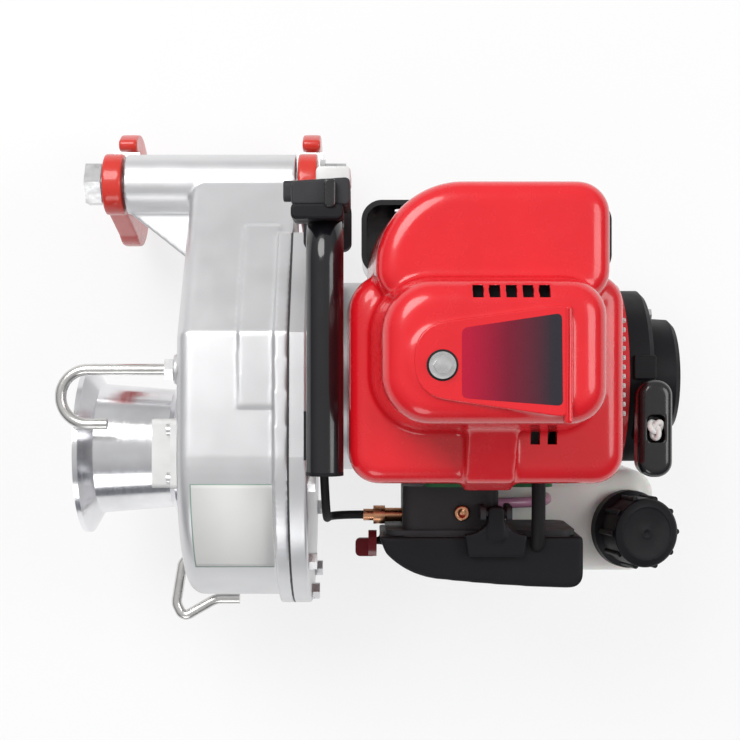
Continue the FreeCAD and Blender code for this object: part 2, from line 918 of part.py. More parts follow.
drum_shaft = bar(drum_shaft_radius, drum_end, shaft_end)
drum_shaft = drum_shaft.fuse(key_box(drum_shaft_radius, layers[0], layers[0] + faces[0]))
drum_shaft = drum_shaft.fuse(key_box(drum_shaft_radius, drum_end, drum_start))
set_shape("drum_shaft", drum_shaft.removeSplitter(), FreeCAD.Placement(drum_centre, FreeCAD.Rotation()))
keyed_gear(
    "drum_gear",
    "drum_module",
    "drum_teeth",
    0,
    drum_shaft_radius,
    facing(drum_centre, second_centre),
    drum_centre,
)
pinion_shaft(
    "second_pinion",
    "drum_module",
    "drum_pinion_teeth",
    0,
    1,
    gap_aim("drum_pinion_teeth", facing(second_centre, drum_centre)),
    second_centre,
)
keyed_gear(
    "second_gear",
    "second_module",
    "second_teeth",
    1,
    lay_seat,
    facing(second_centre, first_centre),
    second_centre,
)
pinion_shaft(
    "first_pinion",
    "second_module",
    "second_pinion_teeth",
    1,
    2,
    gap_aim("second_pinion_teeth", facing(first_centre, second_centre)),
    first_centre,
)
keyed_gear(
    "first_gear", "first_module", "first_teeth", 2, lay_seat, facing(first_centre, crank_centre), first_centre
)
input_radius = number("input_shaft_radius")
bell_start = number("cover_outer + bearing_width / 2 + 2")
bell_hub_end = bell_start + 9
input_pinion = spur_gear(
    number("first_module"),
    int(number("first_pinion_teeth")),
    faces[2] + 2 * extra,
    0,
    1.0,
    gap_aim("first_pinion_teeth", facing(crank_centre, first_centre)),
)
input_pinion.translate(Vector(layers[2] - extra, 0, 0))
input_shaft = bar(input_radius, layers[2] + faces[2] + extra, bell_hub_end)
input_shaft = input_shaft.fuse([input_pinion, key_box(input_radius, bell_start, bell_hub_end)])
set_shape("input_pinion", input_shaft.removeSplitter(), FreeCAD.Placement(crank_centre, FreeCAD.Rotation()))

bell = turned_part(
    "clutch_bell",
    "crank_offset",
    "axis_height",
    [
        (bell_start, "input_shaft_radius + seat_gap"),
        (bell_start, "42"),
        (bell_start + 22, "42"),
        (bell_start + 22, "39"),
        (bell_start + 3, "39"),
        (bell_start + 3, "13"),
        (bell_hub_end, "13"),
        (bell_hub_end, "input_shaft_radius + seat_gap"),
    ],
)
bell_key = new_sketch(bell, "YZ_Plane", bell_start)
outline(
    bell_key,
    [
        ("-0.25 * input_shaft_radius - 0.05", "0"),
        ("0.25 * input_shaft_radius + 0.05", "0"),
        ("0.25 * input_shaft_radius + 0.05", "1.22 * input_shaft_radius + 0.05"),
        ("-0.25 * input_shaft_radius - 0.05", "1.22 * input_shaft_radius + 0.05"),
    ],
)
pocket(bell, bell_key, bell_hub_end - bell_start)

bearings = []
bearing_places = [
    (centre, radius, inner, start)
    for centre, radius, inner in (
        (drum_centre, "drum_bearing_radius", "drum_shaft_radius"),
        (second_centre, "lay_bearing_radius", "lay_shaft_radius"),
        (first_centre, "lay_bearing_radius", "lay_shaft_radius"),
    )
    for start in (bearing_seat, "cover_inner")
]
bearing_places.append(
    (crank_centre, "input_bearing_radius", "input_shaft_radius", "cover_outer - bearing_width / 2")
)
for index, (centre, radius, inner, start) in enumerate(bearing_places):
    outer_race = cylinder(f"race_{index}", radius, "bearing_width", start, centre.y, centre.z)
    inner_hole = cylinder(
        f"race_bore_{index}",
        f"{inner} + running_gap",
        "bearing_width",
        start,
        centre.y,
        centre.z,
    )
    bearings.append(cut(f"bearing_{index}", outer_race, inner_hole))
group("gearbox_bearings", bearings)

# Capstan drum with its end bolt
drum = turned_part(
    "capstan_drum",
    "0",
    "axis_height",
    [
        ("0", "drum_shaft_radius + seat_gap"),
        ("0", "drum_heel_radius"),
        ("-4", "drum_heel_radius"),
        ("-8", "drum_inner_radius"),
        ("-drum_length + drum_flare_length", "drum_outer_radius"),
        ("-drum_length", "drum_flare_radius"),
        ("-drum_length - drum_rim", "drum_flare_radius"),
        ("-drum_length - drum_rim", "drum_dish_radius"),
        ("-drum_length - drum_rim + drum_dish_depth", "drum_dish_radius - 3"),
        ("-drum_length - drum_rim + drum_dish_depth", "drum_shaft_radius + seat_gap"),
    ],
    x="case_back - drum_gap",
)
drum_key = new_sketch(drum, "YZ_Plane", "-drum_length - drum_rim + drum_dish_depth")
outline(
    drum_key,
    [
        ("-0.25 * drum_shaft_radius - 0.05", "0"),
        ("0.25 * drum_shaft_radius + 0.05", "0"),
        ("0.25 * drum_shaft_radius + 0.05", "1.22 * drum_shaft_radius + 0.05"),
        ("-0.25 * drum_shaft_radius - 0.05", "1.22 * drum_shaft_radius + 0.05"),
    ],
)
pocket(drum, drum_key, "drum_length + drum_rim - drum_dish_depth")
drum_washer = cylinder("drum_washer", "drum_shaft_radius + 9", "4", drum_end - 4, "0", "axis_height")
drum_head = hexagon("drum_head", "12", "9", drum_end - 13, "0", "axis_height")
as_sub_part(fuse("drum_bolt", [drum_washer, drum_head]), "drum_bolt")

# Rope guides, their nuts and the rope deflector
back_x = number("case_back")
rod = number("guide_rod_radius")
rod_start = back_x + number("case_wall / 2") - 0.1
upper_y, upper_z = number("upper_guide_y"), number("upper_guide_z")
upper_turn = number("upper_guide_bend")
upper_end = back_x - number("upper_guide_reach") - upper_turn
set_shape(
    "upper_rope_guide",
    bent_rod(
        [
            Vector(rod_start, upper_y, upper_z),
            Vector(upper_end, upper_y, upper_z),
            Vector(upper_end, upper_y - 2 * upper_turn + 0.2, upper_z),
            Vector(
                upper_end + upper_turn + number("upper_guide_return"),
                upper_y - 2 * upper_turn + 0.2,
                upper_z,
            ),
        ],
        [upper_turn - 0.2, upper_turn - 0.2],
        rod,
    ),
)
lower_y, lower_z = number("lower_guide_y"), number("lower_guide_z")
lower_out = back_x - number("lower_guide_out")
lower_front = lower_y - number("lower_guide_front")
lower_tip = back_x + number("lower_guide_tip")
tip_y = lower_front + 12
lower_turn = number("lower_guide_bend")
set_shape(
    "lower_rope_guide",
    bent_rod(
        [
            Vector(rod_start, lower_y, lower_z),
            Vector(lower_out, lower_y, lower_z),
            Vector(lower_out - 4.5, lower_front + 9, lower_z),
            Vector(lower_out, lower_front, lower_z),
            Vector(lower_tip - 15, tip_y, lower_z),
            Vector(lower_tip, tip_y, lower_z),
        ],
        [lower_turn, 1.6 * lower_turn, 0.9 * lower_turn, 14],
        rod,
    ),
)
nut_place = ("case_back - guide_boss_height - 5", *guide_places[0])
guide_nut = hexagon("guide_nut", "2.1 * guide_rod_radius", "5", *nut_place)
guide_nut_bore = cylinder("guide_nut_bore", "guide_rod_radius + seat_gap", "5", *nut_place)
guide_nuts = [cut("guide_nut_cut", guide_nut, guide_nut_bore)]
deflector_low = "axis_height + drum_heel_radius + deflector_gap"
plate_high = "deflector_height + 10"
for index, side in enumerate((-1, 1)):
    guide_nuts.append(
        cylinder(
            f"deflector_screw_{index}",
            "3.5",
            "2.5",
            "case_back - deflector_plate - 2.5",
            f"{side} * 0.35 * deflector_length",
            f"{deflector_low} + deflector_height + 5",
        )
    )
group("guide_fasteners", guide_nuts)
deflector = new_body("rope_deflector")
pad(
    deflector,
    rounded_box(
        new_sketch(deflector, "YZ_Plane", "case_back - deflector_plate"),
        "-deflector_length / 2",
        "deflector_length / 2",
        deflector_low,
        f"{deflector_low} + {plate_high}",
        "3",
    ),
    "deflector_plate",
)
pad(
    deflector,
    rounded_box(
        new_sketch(deflector, "YZ_Plane", "case_back - deflector_plate - deflector_width"),
        "-deflector_length / 2",
        "deflector_length / 2",
        deflector_low,
        f"{deflector_low} + deflector_height",
        "3",
    ),
    "deflector_width",
)

# Anchor bolt with its nut and washers, and the two hooks on it
boss_left = "case_back - boss_outreach"
boss_right = "split_x"
hook_left_x = f"{boss_left} - hook_side_gap - hook_thick / 2"
hook_right_x = f"{boss_right} + hook_side_gap + hook_thick / 2"
bolt_head_x = f"{boss_left} - 2 * hook_side_gap - hook_thick"
nut_x = f"{boss_right} + 2 * hook_side_gap + hook_thick + 3"
anchor_place = ("anchor_reach", "axis_height")
anchor_shank = cylinder(
    "anchor_shank", "anchor_radius", f"{nut_x} + 16 - ({bolt_head_x})", f"{bolt_head_x} - 1", *anchor_place
)
anchor_head = hexagon("anchor_head", "14", "10", f"{bolt_head_x} - 10", *anchor_place)
as_sub_part(fuse("anchor_bolt", [anchor_shank, anchor_head]), "anchor_bolt")
anchor_washer = cylinder("anchor_washer", "15.5", "3", f"{nut_x} - 3", *anchor_place)
anchor_nut = hexagon("anchor_nut", "14", "13", nut_x, *anchor_place)
anchor_lock = fuse("anchor_lock", [anchor_washer, anchor_nut])
anchor_bore = cylinder("anchor_bore", "anchor_radius + seat_gap", "20", f"{nut_x} - 4", *anchor_place)
as_sub_part(cut("anchor_nut_and_washer", anchor_lock, anchor_bore), "anchor_nut_and_washer")

LATCH_PIVOT = ("-12", "-34")


def on_circle(u, v, radius, degrees):
    """A point of a circle, as two expressions."""
    return (f"{u} + {radius} * cos({degrees})", f"{v} + {radius} * sin({degrees})")


def hook_outline(sketch):
    """The hook seen along the bolt: round the eye, down the back, round the bowl, the tip and the throat."""
    eye, bowl, throat = "hook_eye_radius", "hook_bowl_radius", "hook_throat_radius"
    bowl_centre = ("hook_set_back", "-hook_bowl_drop")
    throat_centre = ("hook_set_back + 4", "-hook_bowl_drop + 2")
    return outline(
        sketch,
        [
            (*on_circle("0", "0", eye, -40), eye),
            (*on_circle("0", "0", eye, 90), eye),
            on_circle("0", "0", eye, 200),
            (*on_circle(*bowl_centre, bowl, 150), bowl),
            (*on_circle(*bowl_centre, bowl, 270), bowl),
            (*on_circle(*bowl_centre, bowl, 35), "4.2"),
            (on_circle(*throat_centre, throat, 0)[0], "-hook_bowl_drop + 17.5"),
            (*on_circle(*throat_centre, throat, 0), f"-{throat}"),
            (*on_circle(*throat_centre, throat, 270), f"-{throat}"),
            on_circle(*throat_centre, throat, 180),
            ("-5", "-36"),
        ],
    )


def make_hook(label, x):
    """A forged hook in the YZ plane that hangs from its eye."""
    hook = new_body(label, x, *anchor_place)
    start = "-hook_thick / 2"
    pad(hook, hook_outline(new_sketch(hook, "YZ_Plane", start)), "hook_thick")
    pocket(
        hook,
        ring(new_sketch(hook, "YZ_Plane", start), "0", "0", "anchor_radius + running_gap"),
        "hook_thick",
    )
    pocket(
        hook,
        ring(new_sketch(hook, "YZ_Plane", start), *LATCH_PIVOT, "latch_pin_radius + running_gap"),
        "hook_thick",
    )
    return hook


def make_latch(label, x):
    """A spring latch: two cheeks beside the shank, a bridge that shuts the throat, and the pin."""
    latch = new_body(label, x, *anchor_place)
    half = "(hook_thick / 2 + latch_gap + latch_thick)"
    reach = "hook_set_back + hook_throat_radius + 2"
    side = [("-16", "-30"), ("-8", "-29"), (reach, "-39"), (reach, "-43.5"), ("-8", "-38.5"), ("-16", "-38")]
    pad(latch, outline(new_sketch(latch, "YZ_Plane", f"-{half}"), side), f"2 * {half}")
    between = [("-20", "-25"), ("4", "-25"), ("4", "-45"), ("-20", "-45")]
    pocket(
        latch,
        outline(new_sketch(latch, "YZ_Plane", "-hook_thick / 2 - latch_gap"), between),
        "hook_thick + 2 * latch_gap",
    )
    tip = f"{reach} - 1.5"
    under = [("6", "-37"), (tip, "-41.3"), (tip, "-48"), ("6", "-48")]
    pocket(
        latch,
        outline(new_sketch(latch, "YZ_Plane", "-hook_thick / 2 - latch_gap"), under),
        "hook_thick + 2 * latch_gap",
    )
    pin_sketch = new_sketch(latch, "YZ_Plane", f"-{half} - 1")
    pad(latch, ring(pin_sketch, *LATCH_PIVOT, "latch_pin_radius"), f"2 * {half} + 2")
    return latch


make_hook("hook_left", hook_left_x)
make_hook("hook_right", hook_right_x)
make_latch("latch_left", hook_left_x)
make_latch("latch_right", hook_right_x)

# Carrying handle: a bent tube with two welded brackets
tube = number("handle_radius")
tube_x, tube_z = number("handle_x"), number("handle_height")
rear_y, front_y = number("handle_rear"), number("handle_front")
plate_x = number("cover_outer")
plate_thick = number("handle_x - handle_radius - cover_outer + bracket_sink")
handle_path = [
    Vector(tube_x, front_y, tube_z),
    Vector(tube_x, rear_y, tube_z),
    Vector(tube_x, rear_y, number("handle_foot_z")),
]
handle = bent_rod(
    handle_path,
    [number("handle_bend")],
    tube,
    tube - number("handle_wall"),
)
rear_plate = Part.makeBox(plate_thick, 34, 46, Vector(plate_x, rear_y - 25, axis_height - 11))
plate_low = axis_height + 63
front_plate = Part.makeBox(plate_thick, 26, tube_z - plate_low, Vector(plate_x, front_y + 6, plate_low))
bore = bent_rod(
    handle_path,
    [number("handle_bend")],
    tube - number("handle_wall"),
)
set_shape("carrying_handle", handle.fuse([rear_plate, front_plate]).cut(bore).removeSplitter())
cap_disc = cylinder(
    "cap_disc", "handle_radius", "2", "handle_x", "handle_front - 2", "handle_height", Vector(0, 1, 0)
)
cap_plug = cylinder(
    "cap_plug",
    "handle_radius - handle_wall - seat_gap",
    "9",
    "handle_x",
    "handle_front - 1",
    "handle_height",
    Vector(0, 1, 0),
)
as_sub_part(fuse("handle_end_cap", [cap_disc, cap_plug]), "handle_end_cap")

# Throttle: clamp on the handle's upright, lever, cable and ferrule
clamp = new_body("throttle_clamp")
clamp_front, clamp_rear = "handle_rear - handle_radius - 3", "handle_rear + handle_radius + 4"
pad(
    clamp,
    rounded_box(
        new_sketch(clamp, "XY_Plane", "clamp_z"),
        "handle_x - handle_radius - 3.5",
        "handle_x + handle_radius + 3.5",
        clamp_front,
        clamp_rear,
        "5",
    ),
    "clamp_height",
)
pocket(
    clamp,
    ring(new_sketch(clamp, "XY_Plane", "clamp_z"), "handle_x", "handle_rear", "handle_radius + seat_gap"),
    "clamp_height",
)
lever_x, lever_z = "handle_x - 5", "clamp_z + clamp_height / 2"
pad(
    clamp,
    ring(new_sketch(clamp, "XZ_Plane", f"-({clamp_rear}) - 9"), lever_x, lever_z, "3"),
    "12",
)
lever = new_body("throttle_lever")
lever_sketch = new_sketch(lever, "XZ_Plane", f"-({clamp_rear}) - lever_swing_gap - 6")
pad(lever, ring(lever_sketch, lever_x, lever_z, "7.5"), "6")
pad(
    lever,
    outline(
        new_sketch(lever, "XZ_Plane", f"-({clamp_rear}) - lever_swing_gap - 6"),
        [
            (lever_x, f"{lever_z} - 6"),
            (f"{lever_x} - 14", f"{lever_z} + 2"),
            (f"{lever_x} - 15", f"{lever_z} + 8"),
            (lever_x, f"{lever_z} + 6"),
        ],
    ),
    "6",
)
pad(
    lever,
    rounded_box(
        new_sketch(lever, "YZ_Plane", f"{lever_x} - 20"),
        f"{clamp_rear} + lever_swing_gap",
        f"{clamp_rear} + lever_swing_gap + 12",
        f"{lever_z} + 1",
        f"{lever_z} + 9",
        "3",
    ),
    "7",
)
pocket(
    lever,
    ring(new_sketch(lever, "XZ_Plane", f"-({clamp_rear}) - 10"), lever_x, lever_z, "3 + running_gap"),
    "12",
)
ferrule_y, ferrule_z, ferrule_x = "cleaner_back + 9", "axis_height + 35", "engine_face - 4"
cable_x = number("handle_x") - 3
cable_z = number(lever_z)
set_shape(
    "throttle_cable",
    bent_rod(
        [
            Vector(cable_x, number(clamp_front), cable_z),
            Vector(cable_x, number("handle_rear") - 34, cable_z),
            Vector(cable_x, number("crank_offset") - 35, cable_z + 5),
            Vector(cable_x + 2, number(ferrule_y), cable_z - 8),
            Vector(cable_x + 2, number(ferrule_y), number(ferrule_z)),
            Vector(number(ferrule_x), number(ferrule_y), number(ferrule_z)),
        ],
        [60, 60, 16, 14],
        number("cable_radius"),
    ),
)
turned_part(
    "cable_ferrule",
    ferrule_y,
    ferrule_z,
    [
        ("0", "0"),
        ("0", "cable_radius + 1"),
        ("6", "cable_radius + 1"),
        ("6", "cable_radius + 3"),
        ("13", "cable_radius + 3"),
        ("13", "cable_radius + 1.6"),
        ("23", "cable_radius + 1.6"),
        ("23", "0"),
    ],
    x=ferrule_x,
)

# Crankcase
case_low, case_high = "crank_offset - crankcase_half", "crank_offset + crankcase_half"
crankcase = new_body("crankcase")
pad(
    crankcase,
    rounded_box(
        new_sketch(crankcase, "YZ_Plane", "engine_face"),
        case_low,
        case_high,
        "crankcase_base",
        "crankcase_top",
        "14",
    ),
    "crankcase_length",
)
pad(
    crankcase,
    rounded_box(
        new_sketch(crankcase, "XY_Plane"),
        "engine_face + 14",
        "crankcase_end",
        "tank_back",
        f"{case_high} + 8",
        "6",
    ),
    "crankcase_base + 16",
)
pad(
    crankcase,
    rounded_box(
        new_sketch(crankcase, "XZ_Plane", f"-({case_low}) - 1"),
        "cylinder_x - 19",
        "cylinder_x + 19",
        "crankcase_top - 38",
        "crankcase_top - 4",
        "6",
    ),
    "18",
)
cavity_half_length = "(crank_pin_length / 2 + crank_web_thick + 4)"
pocket(
    crankcase,
    ring(
        new_sketch(crankcase, "YZ_Plane", f"cylinder_x - {cavity_half_length}"),
        "crank_offset",
        "axis_height",
        "crank_web_radius + 3",
    ),
    f"2 * {cavity_half_length}",
)
pocket(
    crankcase,
    ring(new_sketch(crankcase, "XY_Plane", "axis_height"), "cylinder_x", "crank_offset", "bore_radius"),
    "crankcase_top - axis_height + 1",
)
pocket(
    crankcase,
    ring(
        new_sketch(crankcase, "YZ_Plane", "engine_face"),
        "crank_offset",
        "axis_height",
        "crank_radius + running_gap",
    ),
    "crankcase_length",
)

# Cylinder, head and spark plug
barrel = new_body("cylinder", "cylinder_x", "crank_offset", "crankcase_top")
pad(barrel, ring(new_sketch(barrel, "XY_Plane"), "0", "0", "bore_radius + 8"), "fin_stack")
for index in range(int(number("fin_count"))):
    fin_sketch = new_sketch(barrel, "XY_Plane", f"{index} * fin_pitch + 5")
    pad(barrel, rounded_box(fin_sketch, "-fin_half", "fin_half", "-fin_half", "fin_half", "12"), "fin_thick")
pocket(barrel, ring(new_sketch(barrel, "XY_Plane"), "0", "0", "bore_radius"), "fin_stack")

head_half, rocker_half = "0.6 * fin_half", "0.46 * fin_half"
head = new_body("cylinder_head", "cylinder_x", "crank_offset", "crankcase_top + fin_stack")
pad(
    head,
    rounded_box(new_sketch(head, "XY_Plane"), f"-{head_half}", head_half, f"-{head_half}", head_half, "8"),
    "head_height",
)
pad(
    head,
    rounded_box(
        new_sketch(head, "XY_Plane", "head_height - 1"),
        f"-{rocker_half}",
        rocker_half,
        f"-{rocker_half}",
        rocker_half,
        "8",
    ),
    "rocker_height + 1",
)
turned_part(
    "spark_plug",
    "crank_offset",
    "crankcase_top + fin_stack + head_height / 2",
    [("0", "0"), ("0", "9"), ("-5", "9"), ("-7", "6"), ("-13", "6"), ("-13", "0")],
    x=f"cylinder_x - {head_half}",
)

# Crankshaft with its clutch shoes and flywheel
crank_start = bell_hub_end + 1.2
crank_end = number("crankcase_end + fan_house_length") - 5
pin_half = "crank_pin_length / 2"
crank_line = ("crank_offset", "axis_height")
crank_bars = [
    cylinder(
        "crank_front",
        "crank_radius",
        f"cylinder_x - {pin_half} - ({crank_start})",
        crank_start,
        *crank_line,
    ),
    cylinder(
        "crank_rear",
        "crank_radius",
        f"{crank_end} - cylinder_x - {pin_half}",
        f"cylinder_x + {pin_half}",
        *crank_line,
    ),
    cylinder(
        "web_front",
        "crank_web_radius",
        "crank_web_thick",
        f"cylinder_x - {pin_half} - crank_web_thick",
        *crank_line,
    ),
    cylinder("web_rear", "crank_web_radius", "crank_web_thick", f"cylinder_x + {pin_half}", *crank_line),
    cylinder(
        "crank_pin",
        "crank_radius",
        "crank_pin_length + 2",
        f"cylinder_x - {pin_half} - 1",
        "crank_offset",
        "axis_height + crank_throw",
    ),
]
as_sub_part(fuse("crankshaft", crank_bars), "crankshaft")

crank_radius = number("crank_radius")


def tube_solid(outer, inner, start, end):
    """A round ring about X."""
    return bar(outer, start, end).cut(bar(inner, start, end))


shoe_start, shoe_end = crank_start + 0.5, bell_start + 21
shoes = tube_solid(37, 24, shoe_start, shoe_end)
shoes = shoes.cut(Part.makeBox(shoe_end - shoe_start, 14, 90, Vector(shoe_start, -7, -45)))
arm = Part.makeBox(shoe_end - shoe_start, 60, 12, Vector(shoe_start, -30, -6))
spider = bar(15, shoe_start, shoe_end).fuse(arm).cut(bar(crank_radius + seat_gap, shoe_start, shoe_end))
set_shape(
    "clutch_shoes", shoes.fuse(spider).removeSplitter(), FreeCAD.Placement(crank_centre, FreeCAD.Rotation())
)

wheel_start = number("crankcase_end") + 8
wheel_end = wheel_start + 26
wheel_radius = number("flywheel_radius")
wheel = bar(22, wheel_start, wheel_end).fuse(bar(wheel_radius, wheel_start, wheel_start + 7))
blades = int(number("flywheel_blades"))
blade_list = []
for index in range(blades):
    blade_corner = Vector(wheel_start + 2, -1.5, 20.5)
    blade = Part.makeBox(wheel_end - wheel_start - 4, 3, wheel_radius - 21, blade_corner)
    blade.rotate(Vector(0, 0, 0), Vector(1, 0, 0), 360 * index / blades)
    blade_list.append(blade)
wheel = wheel.fuse(blade_list).cut(bar(crank_radius + seat_gap, wheel_start, wheel_end)).removeSplitter()
set_shape("flywheel", wheel, FreeCAD.Placement(crank_centre, FreeCAD.Rotation()))

# Fan housing and recoil starter
fan_end = "crankcase_end + fan_house_length"
turned_part(
    "fan_housing",
    *crank_line,
    [
        ("0", "0.5 * fan_house_radius"),
        ("0", "fan_house_radius"),
        ("fan_house_length", "fan_house_radius"),
        ("fan_house_length", "0.7 * fan_house_radius"),
        ("fan_house_length - fan_house_wall", "0.7 * fan_house_radius"),
        ("fan_house_length - fan_house_wall", "fan_house_radius - fan_house_wall"),
        ("fan_house_wall", "fan_house_radius - fan_house_wall"),
        ("fan_house_wall", "0.5 * fan_house_radius"),
    ],
    x="crankcase_end",
)
starter_length = "starter_disc_length + starter_cup_length"
pulley_mid = "12"
starter = turned_part(
    "starter_housing",
    *crank_line,
    [
        ("0", "starter_disc_radius - starter_wall"),
        ("0", "starter_disc_radius"),
        ("starter_disc_length - 3", "starter_disc_radius"),
        ("starter_disc_length", "starter_disc_radius - 3"),
        ("starter_disc_length", "starter_cup_radius"),
        (f"{starter_length} - 3", "starter_cup_radius - 1"),
        (starter_length, "starter_cup_radius - 4"),
        (starter_length, "0"),
        (f"{pulley_mid} - pulley_width / 2 - 1", "0"),
        (f"{pulley_mid} - pulley_width / 2 - 1", "6"),
        (f"{starter_length} - starter_wall", "6"),
        (f"{starter_length} - starter_wall", "starter_cup_radius - starter_wall"),
        ("starter_disc_length - starter_wall", "starter_cup_radius - starter_wall"),
        ("starter_disc_length - starter_wall", "starter_disc_radius - starter_wall"),
    ],
    x=fan_end,
)
rope_x = f"{fan_end} + {pulley_mid}"
rope_y = "crank_offset - pulley_radius"
grip_low = "axis_height + starter_disc_radius + grip_gap"
guide_low = "starter_disc_radius * 0.72"
pad(
    starter,
    rounded_box(
        new_sketch(starter, "XY_Plane", guide_low),
        f"{pulley_mid} - 8",
        f"{pulley_mid} + 8",
        "-pulley_radius - 9",
        "-pulley_radius + 9",
        "4",
    ),
    f"starter_disc_radius - ({guide_low})",
)
pocket(
    starter,
    ring(new_sketch(starter, "XY_Plane"), pulley_mid, "-pulley_radius", "rope_radius + 0.6"),
    "starter_disc_radius + 2",
)
vent = new_sketch(starter, "YZ_Plane", f"{starter_length} - starter_wall - 1")
for index in range(6):
    turn_angle = math.radians(60 * index + 30)
    ring(vent, 21 * math.cos(turn_angle), 21 * math.sin(turn_angle), "5")
pocket(starter, vent, "starter_wall + 2")

turned_part(
    "starter_pulley",
    *crank_line,
    [
        ("-pulley_width / 2", "6 + running_gap"),
        ("-pulley_width / 2", "pulley_radius + 1.5"),
        ("-rope_radius - 0.3", "pulley_radius + 1.5"),
        ("-rope_radius - 0.3", "pulley_radius - rope_radius - 0.1"),
        ("rope_radius + 0.3", "pulley_radius - rope_radius - 0.1"),
        ("rope_radius + 0.3", "pulley_radius + 1.5"),
        ("pulley_width / 2", "pulley_radius + 1.5"),
        ("pulley_width / 2", "6 + running_gap"),
    ],
    x=rope_x,
)
as_sub_part(
    cylinder(
        "starter_rope",
        "rope_radius",
        f"{grip_low} + 8 - axis_height",
        rope_x,
        rope_y,
        "axis_height",
        Vector(0, 0, 1),
    ),
    "starter_rope",
)
grip = new_body("starter_grip", rope_x, rope_y, grip_low)
pad(
    grip,
    rounded_box(
        new_sketch(grip, "XY_Plane"),
        "-grip_width / 2",
        "grip_width / 2",
        "-grip_length / 2",
        "grip_length / 2",
        "0.45 * grip_width",
    ),
    "grip_height",
)
round_edges(grip, "0.25 * grip_width", flat_at("Z", "grip_height"))
round_edges(grip, "0.15 * grip_width", flat_at("Z", "0"))
pocket(
    grip,
    rounded_box(new_sketch(grip, "XY_Plane", "grip_height"), "-5", "5", "-8", "8", "3"),
    "0.4 * grip_height",
    along=False,
)
pocket(grip, ring(new_sketch(grip, "XY_Plane"), "0", "0", "rope_radius + seat_gap"), "8")

# Red top cover: a skirt, an upper tier and a hood moulded as one shell, with a tongue in front.
# Each form gives its sides, its low and high ends, its draft in degrees, its corners, front right
# first and then round by the rear, and the rounding of its top edge.
SKIRT_FORM = {
    "sides": ("shroud_left", "shroud_right", "shroud_front", "shroud_rear"),
    "ends": ("shroud_bottom", "skirt_top"),
    "draft": -2,
    "corners": (18, 18, 22, 18),
    "rounding": 11,
}
UPPER_FORM = {
    "sides": ("shroud_left + 11", "shroud_right - 14", "shroud_front + 28", "shroud_rear - 1"),
    "ends": ("skirt_top - 20", "shroud_top"),
    "draft": -6,
    "corners": (26, 26, 34, 32),
    "rounding": 13,
}
HOOD_FORM = {
    "sides": ("hood_left", "hood_right", "shroud_rear - 24", "hood_rear"),
    "ends": ("hood_bottom", "hood_top"),
    "draft": -3,
    "corners": (22, 22, 50, 22),
    "rounding": 11,
}


def drafted(body, form, low, wall, clear):
    """The rounded box that a form stands on and its height, both taken in by the wall."""
    left, right, front, rear = form["sides"]
    high = form["ends"][1]
    sketch = rounded_box(
        new_sketch(body, "XY_Plane", low),
        f"{left} + {wall}",
        f"{right} - {wall}",
        f"{front} + {wall}",
        f"{rear} - {wall}",
        [f"({corner} - {wall})" for corner in form["corners"]],
    )
    return sketch, f"{high} - ({low}) - {wall} - {clear}"


def dome(body, form):
    """A drafted block with its upper edge rounded."""
    sketch, height = drafted(body, form, form["ends"][0], "0", "0")
    pad(body, sketch, height, taper=form["draft"])
    round_edges(body, str(form["rounding"]), flat_at("Z", form["ends"][1]))


def hollow(body, form, low):
    """The inside of a dome from some height up, a wall in from it and clear of its rounded edge."""
    sketch, height = drafted(body, form, low, "shroud_wall", str(0.25 * form["rounding"]))
    pocket(body, sketch, height, taper=form["draft"])


shroud = new_body("top_cover")
for form in (SKIRT_FORM, HOOD_FORM, UPPER_FORM):
    dome(shroud, form)
tongue_width = "26"
pad(
    shroud,
    outline(
        new_sketch(shroud, "YZ_Plane", "cylinder_x - 6"),
        [
            ("shroud_front + 38", "skirt_top + 32"),
            ("shroud_front + 4", "skirt_top + 2"),
            ("shroud_front - 2", "skirt_top - 14"),
            ("shroud_front - 2", "shroud_bottom + 14"),
            ("shroud_front + 8", "shroud_bottom + 20"),
            ("shroud_front + 38", "skirt_top - 10"),
        ],
    ),
    tongue_width,
)
pad(
    shroud,
    outline(
        new_sketch(shroud, "XY_Plane", "shroud_top - 3"),
        [
            ("shroud_left + 42", "shroud_front + 51"),
            ("shroud_right - 50", "shroud_front + 41", "9"),
            ("shroud_right - 41", "shroud_front + 50"),
            ("shroud_right - 41", "shroud_rear - 33", "9"),
            ("shroud_right - 50", "shroud_rear - 24"),
            ("shroud_left + 42", "shroud_rear - 33", "18"),
        ],
    ),
    "4.5",
)
hollow(shroud, SKIRT_FORM, "hood_bottom")
hollow(shroud, HOOD_FORM, "hood_bottom")
hollow(shroud, UPPER_FORM, "skirt_top - 20")
slot_pitch = 8
slot_sketch = new_sketch(shroud, "XY_Plane", "shroud_top - 40")
for index in range(5):
    slot_start = f"shroud_left + 63 + {index * slot_pitch}"
    rounded_box(slot_sketch, slot_start, f"{slot_start} + 4.6", "shroud_rear - 18", "shroud_rear - 13", "0.8")
for index in range(2):
    slot_start = f"shroud_right - 58 + {index * slot_pitch}"
    slot_end = f"{slot_start} + 4.6"
    rounded_box(slot_sketch, slot_start, slot_end, "shroud_front + 27", "shroud_front + 34", "0.8")
pocket(shroud, slot_sketch, "45")
screw_place = ("shroud_left + 48", "crank_offset + 6")
pocket(shroud, ring(new_sketch(shroud, "XY_Plane", "shroud_top - 6"), *screw_place, "3"), "10")

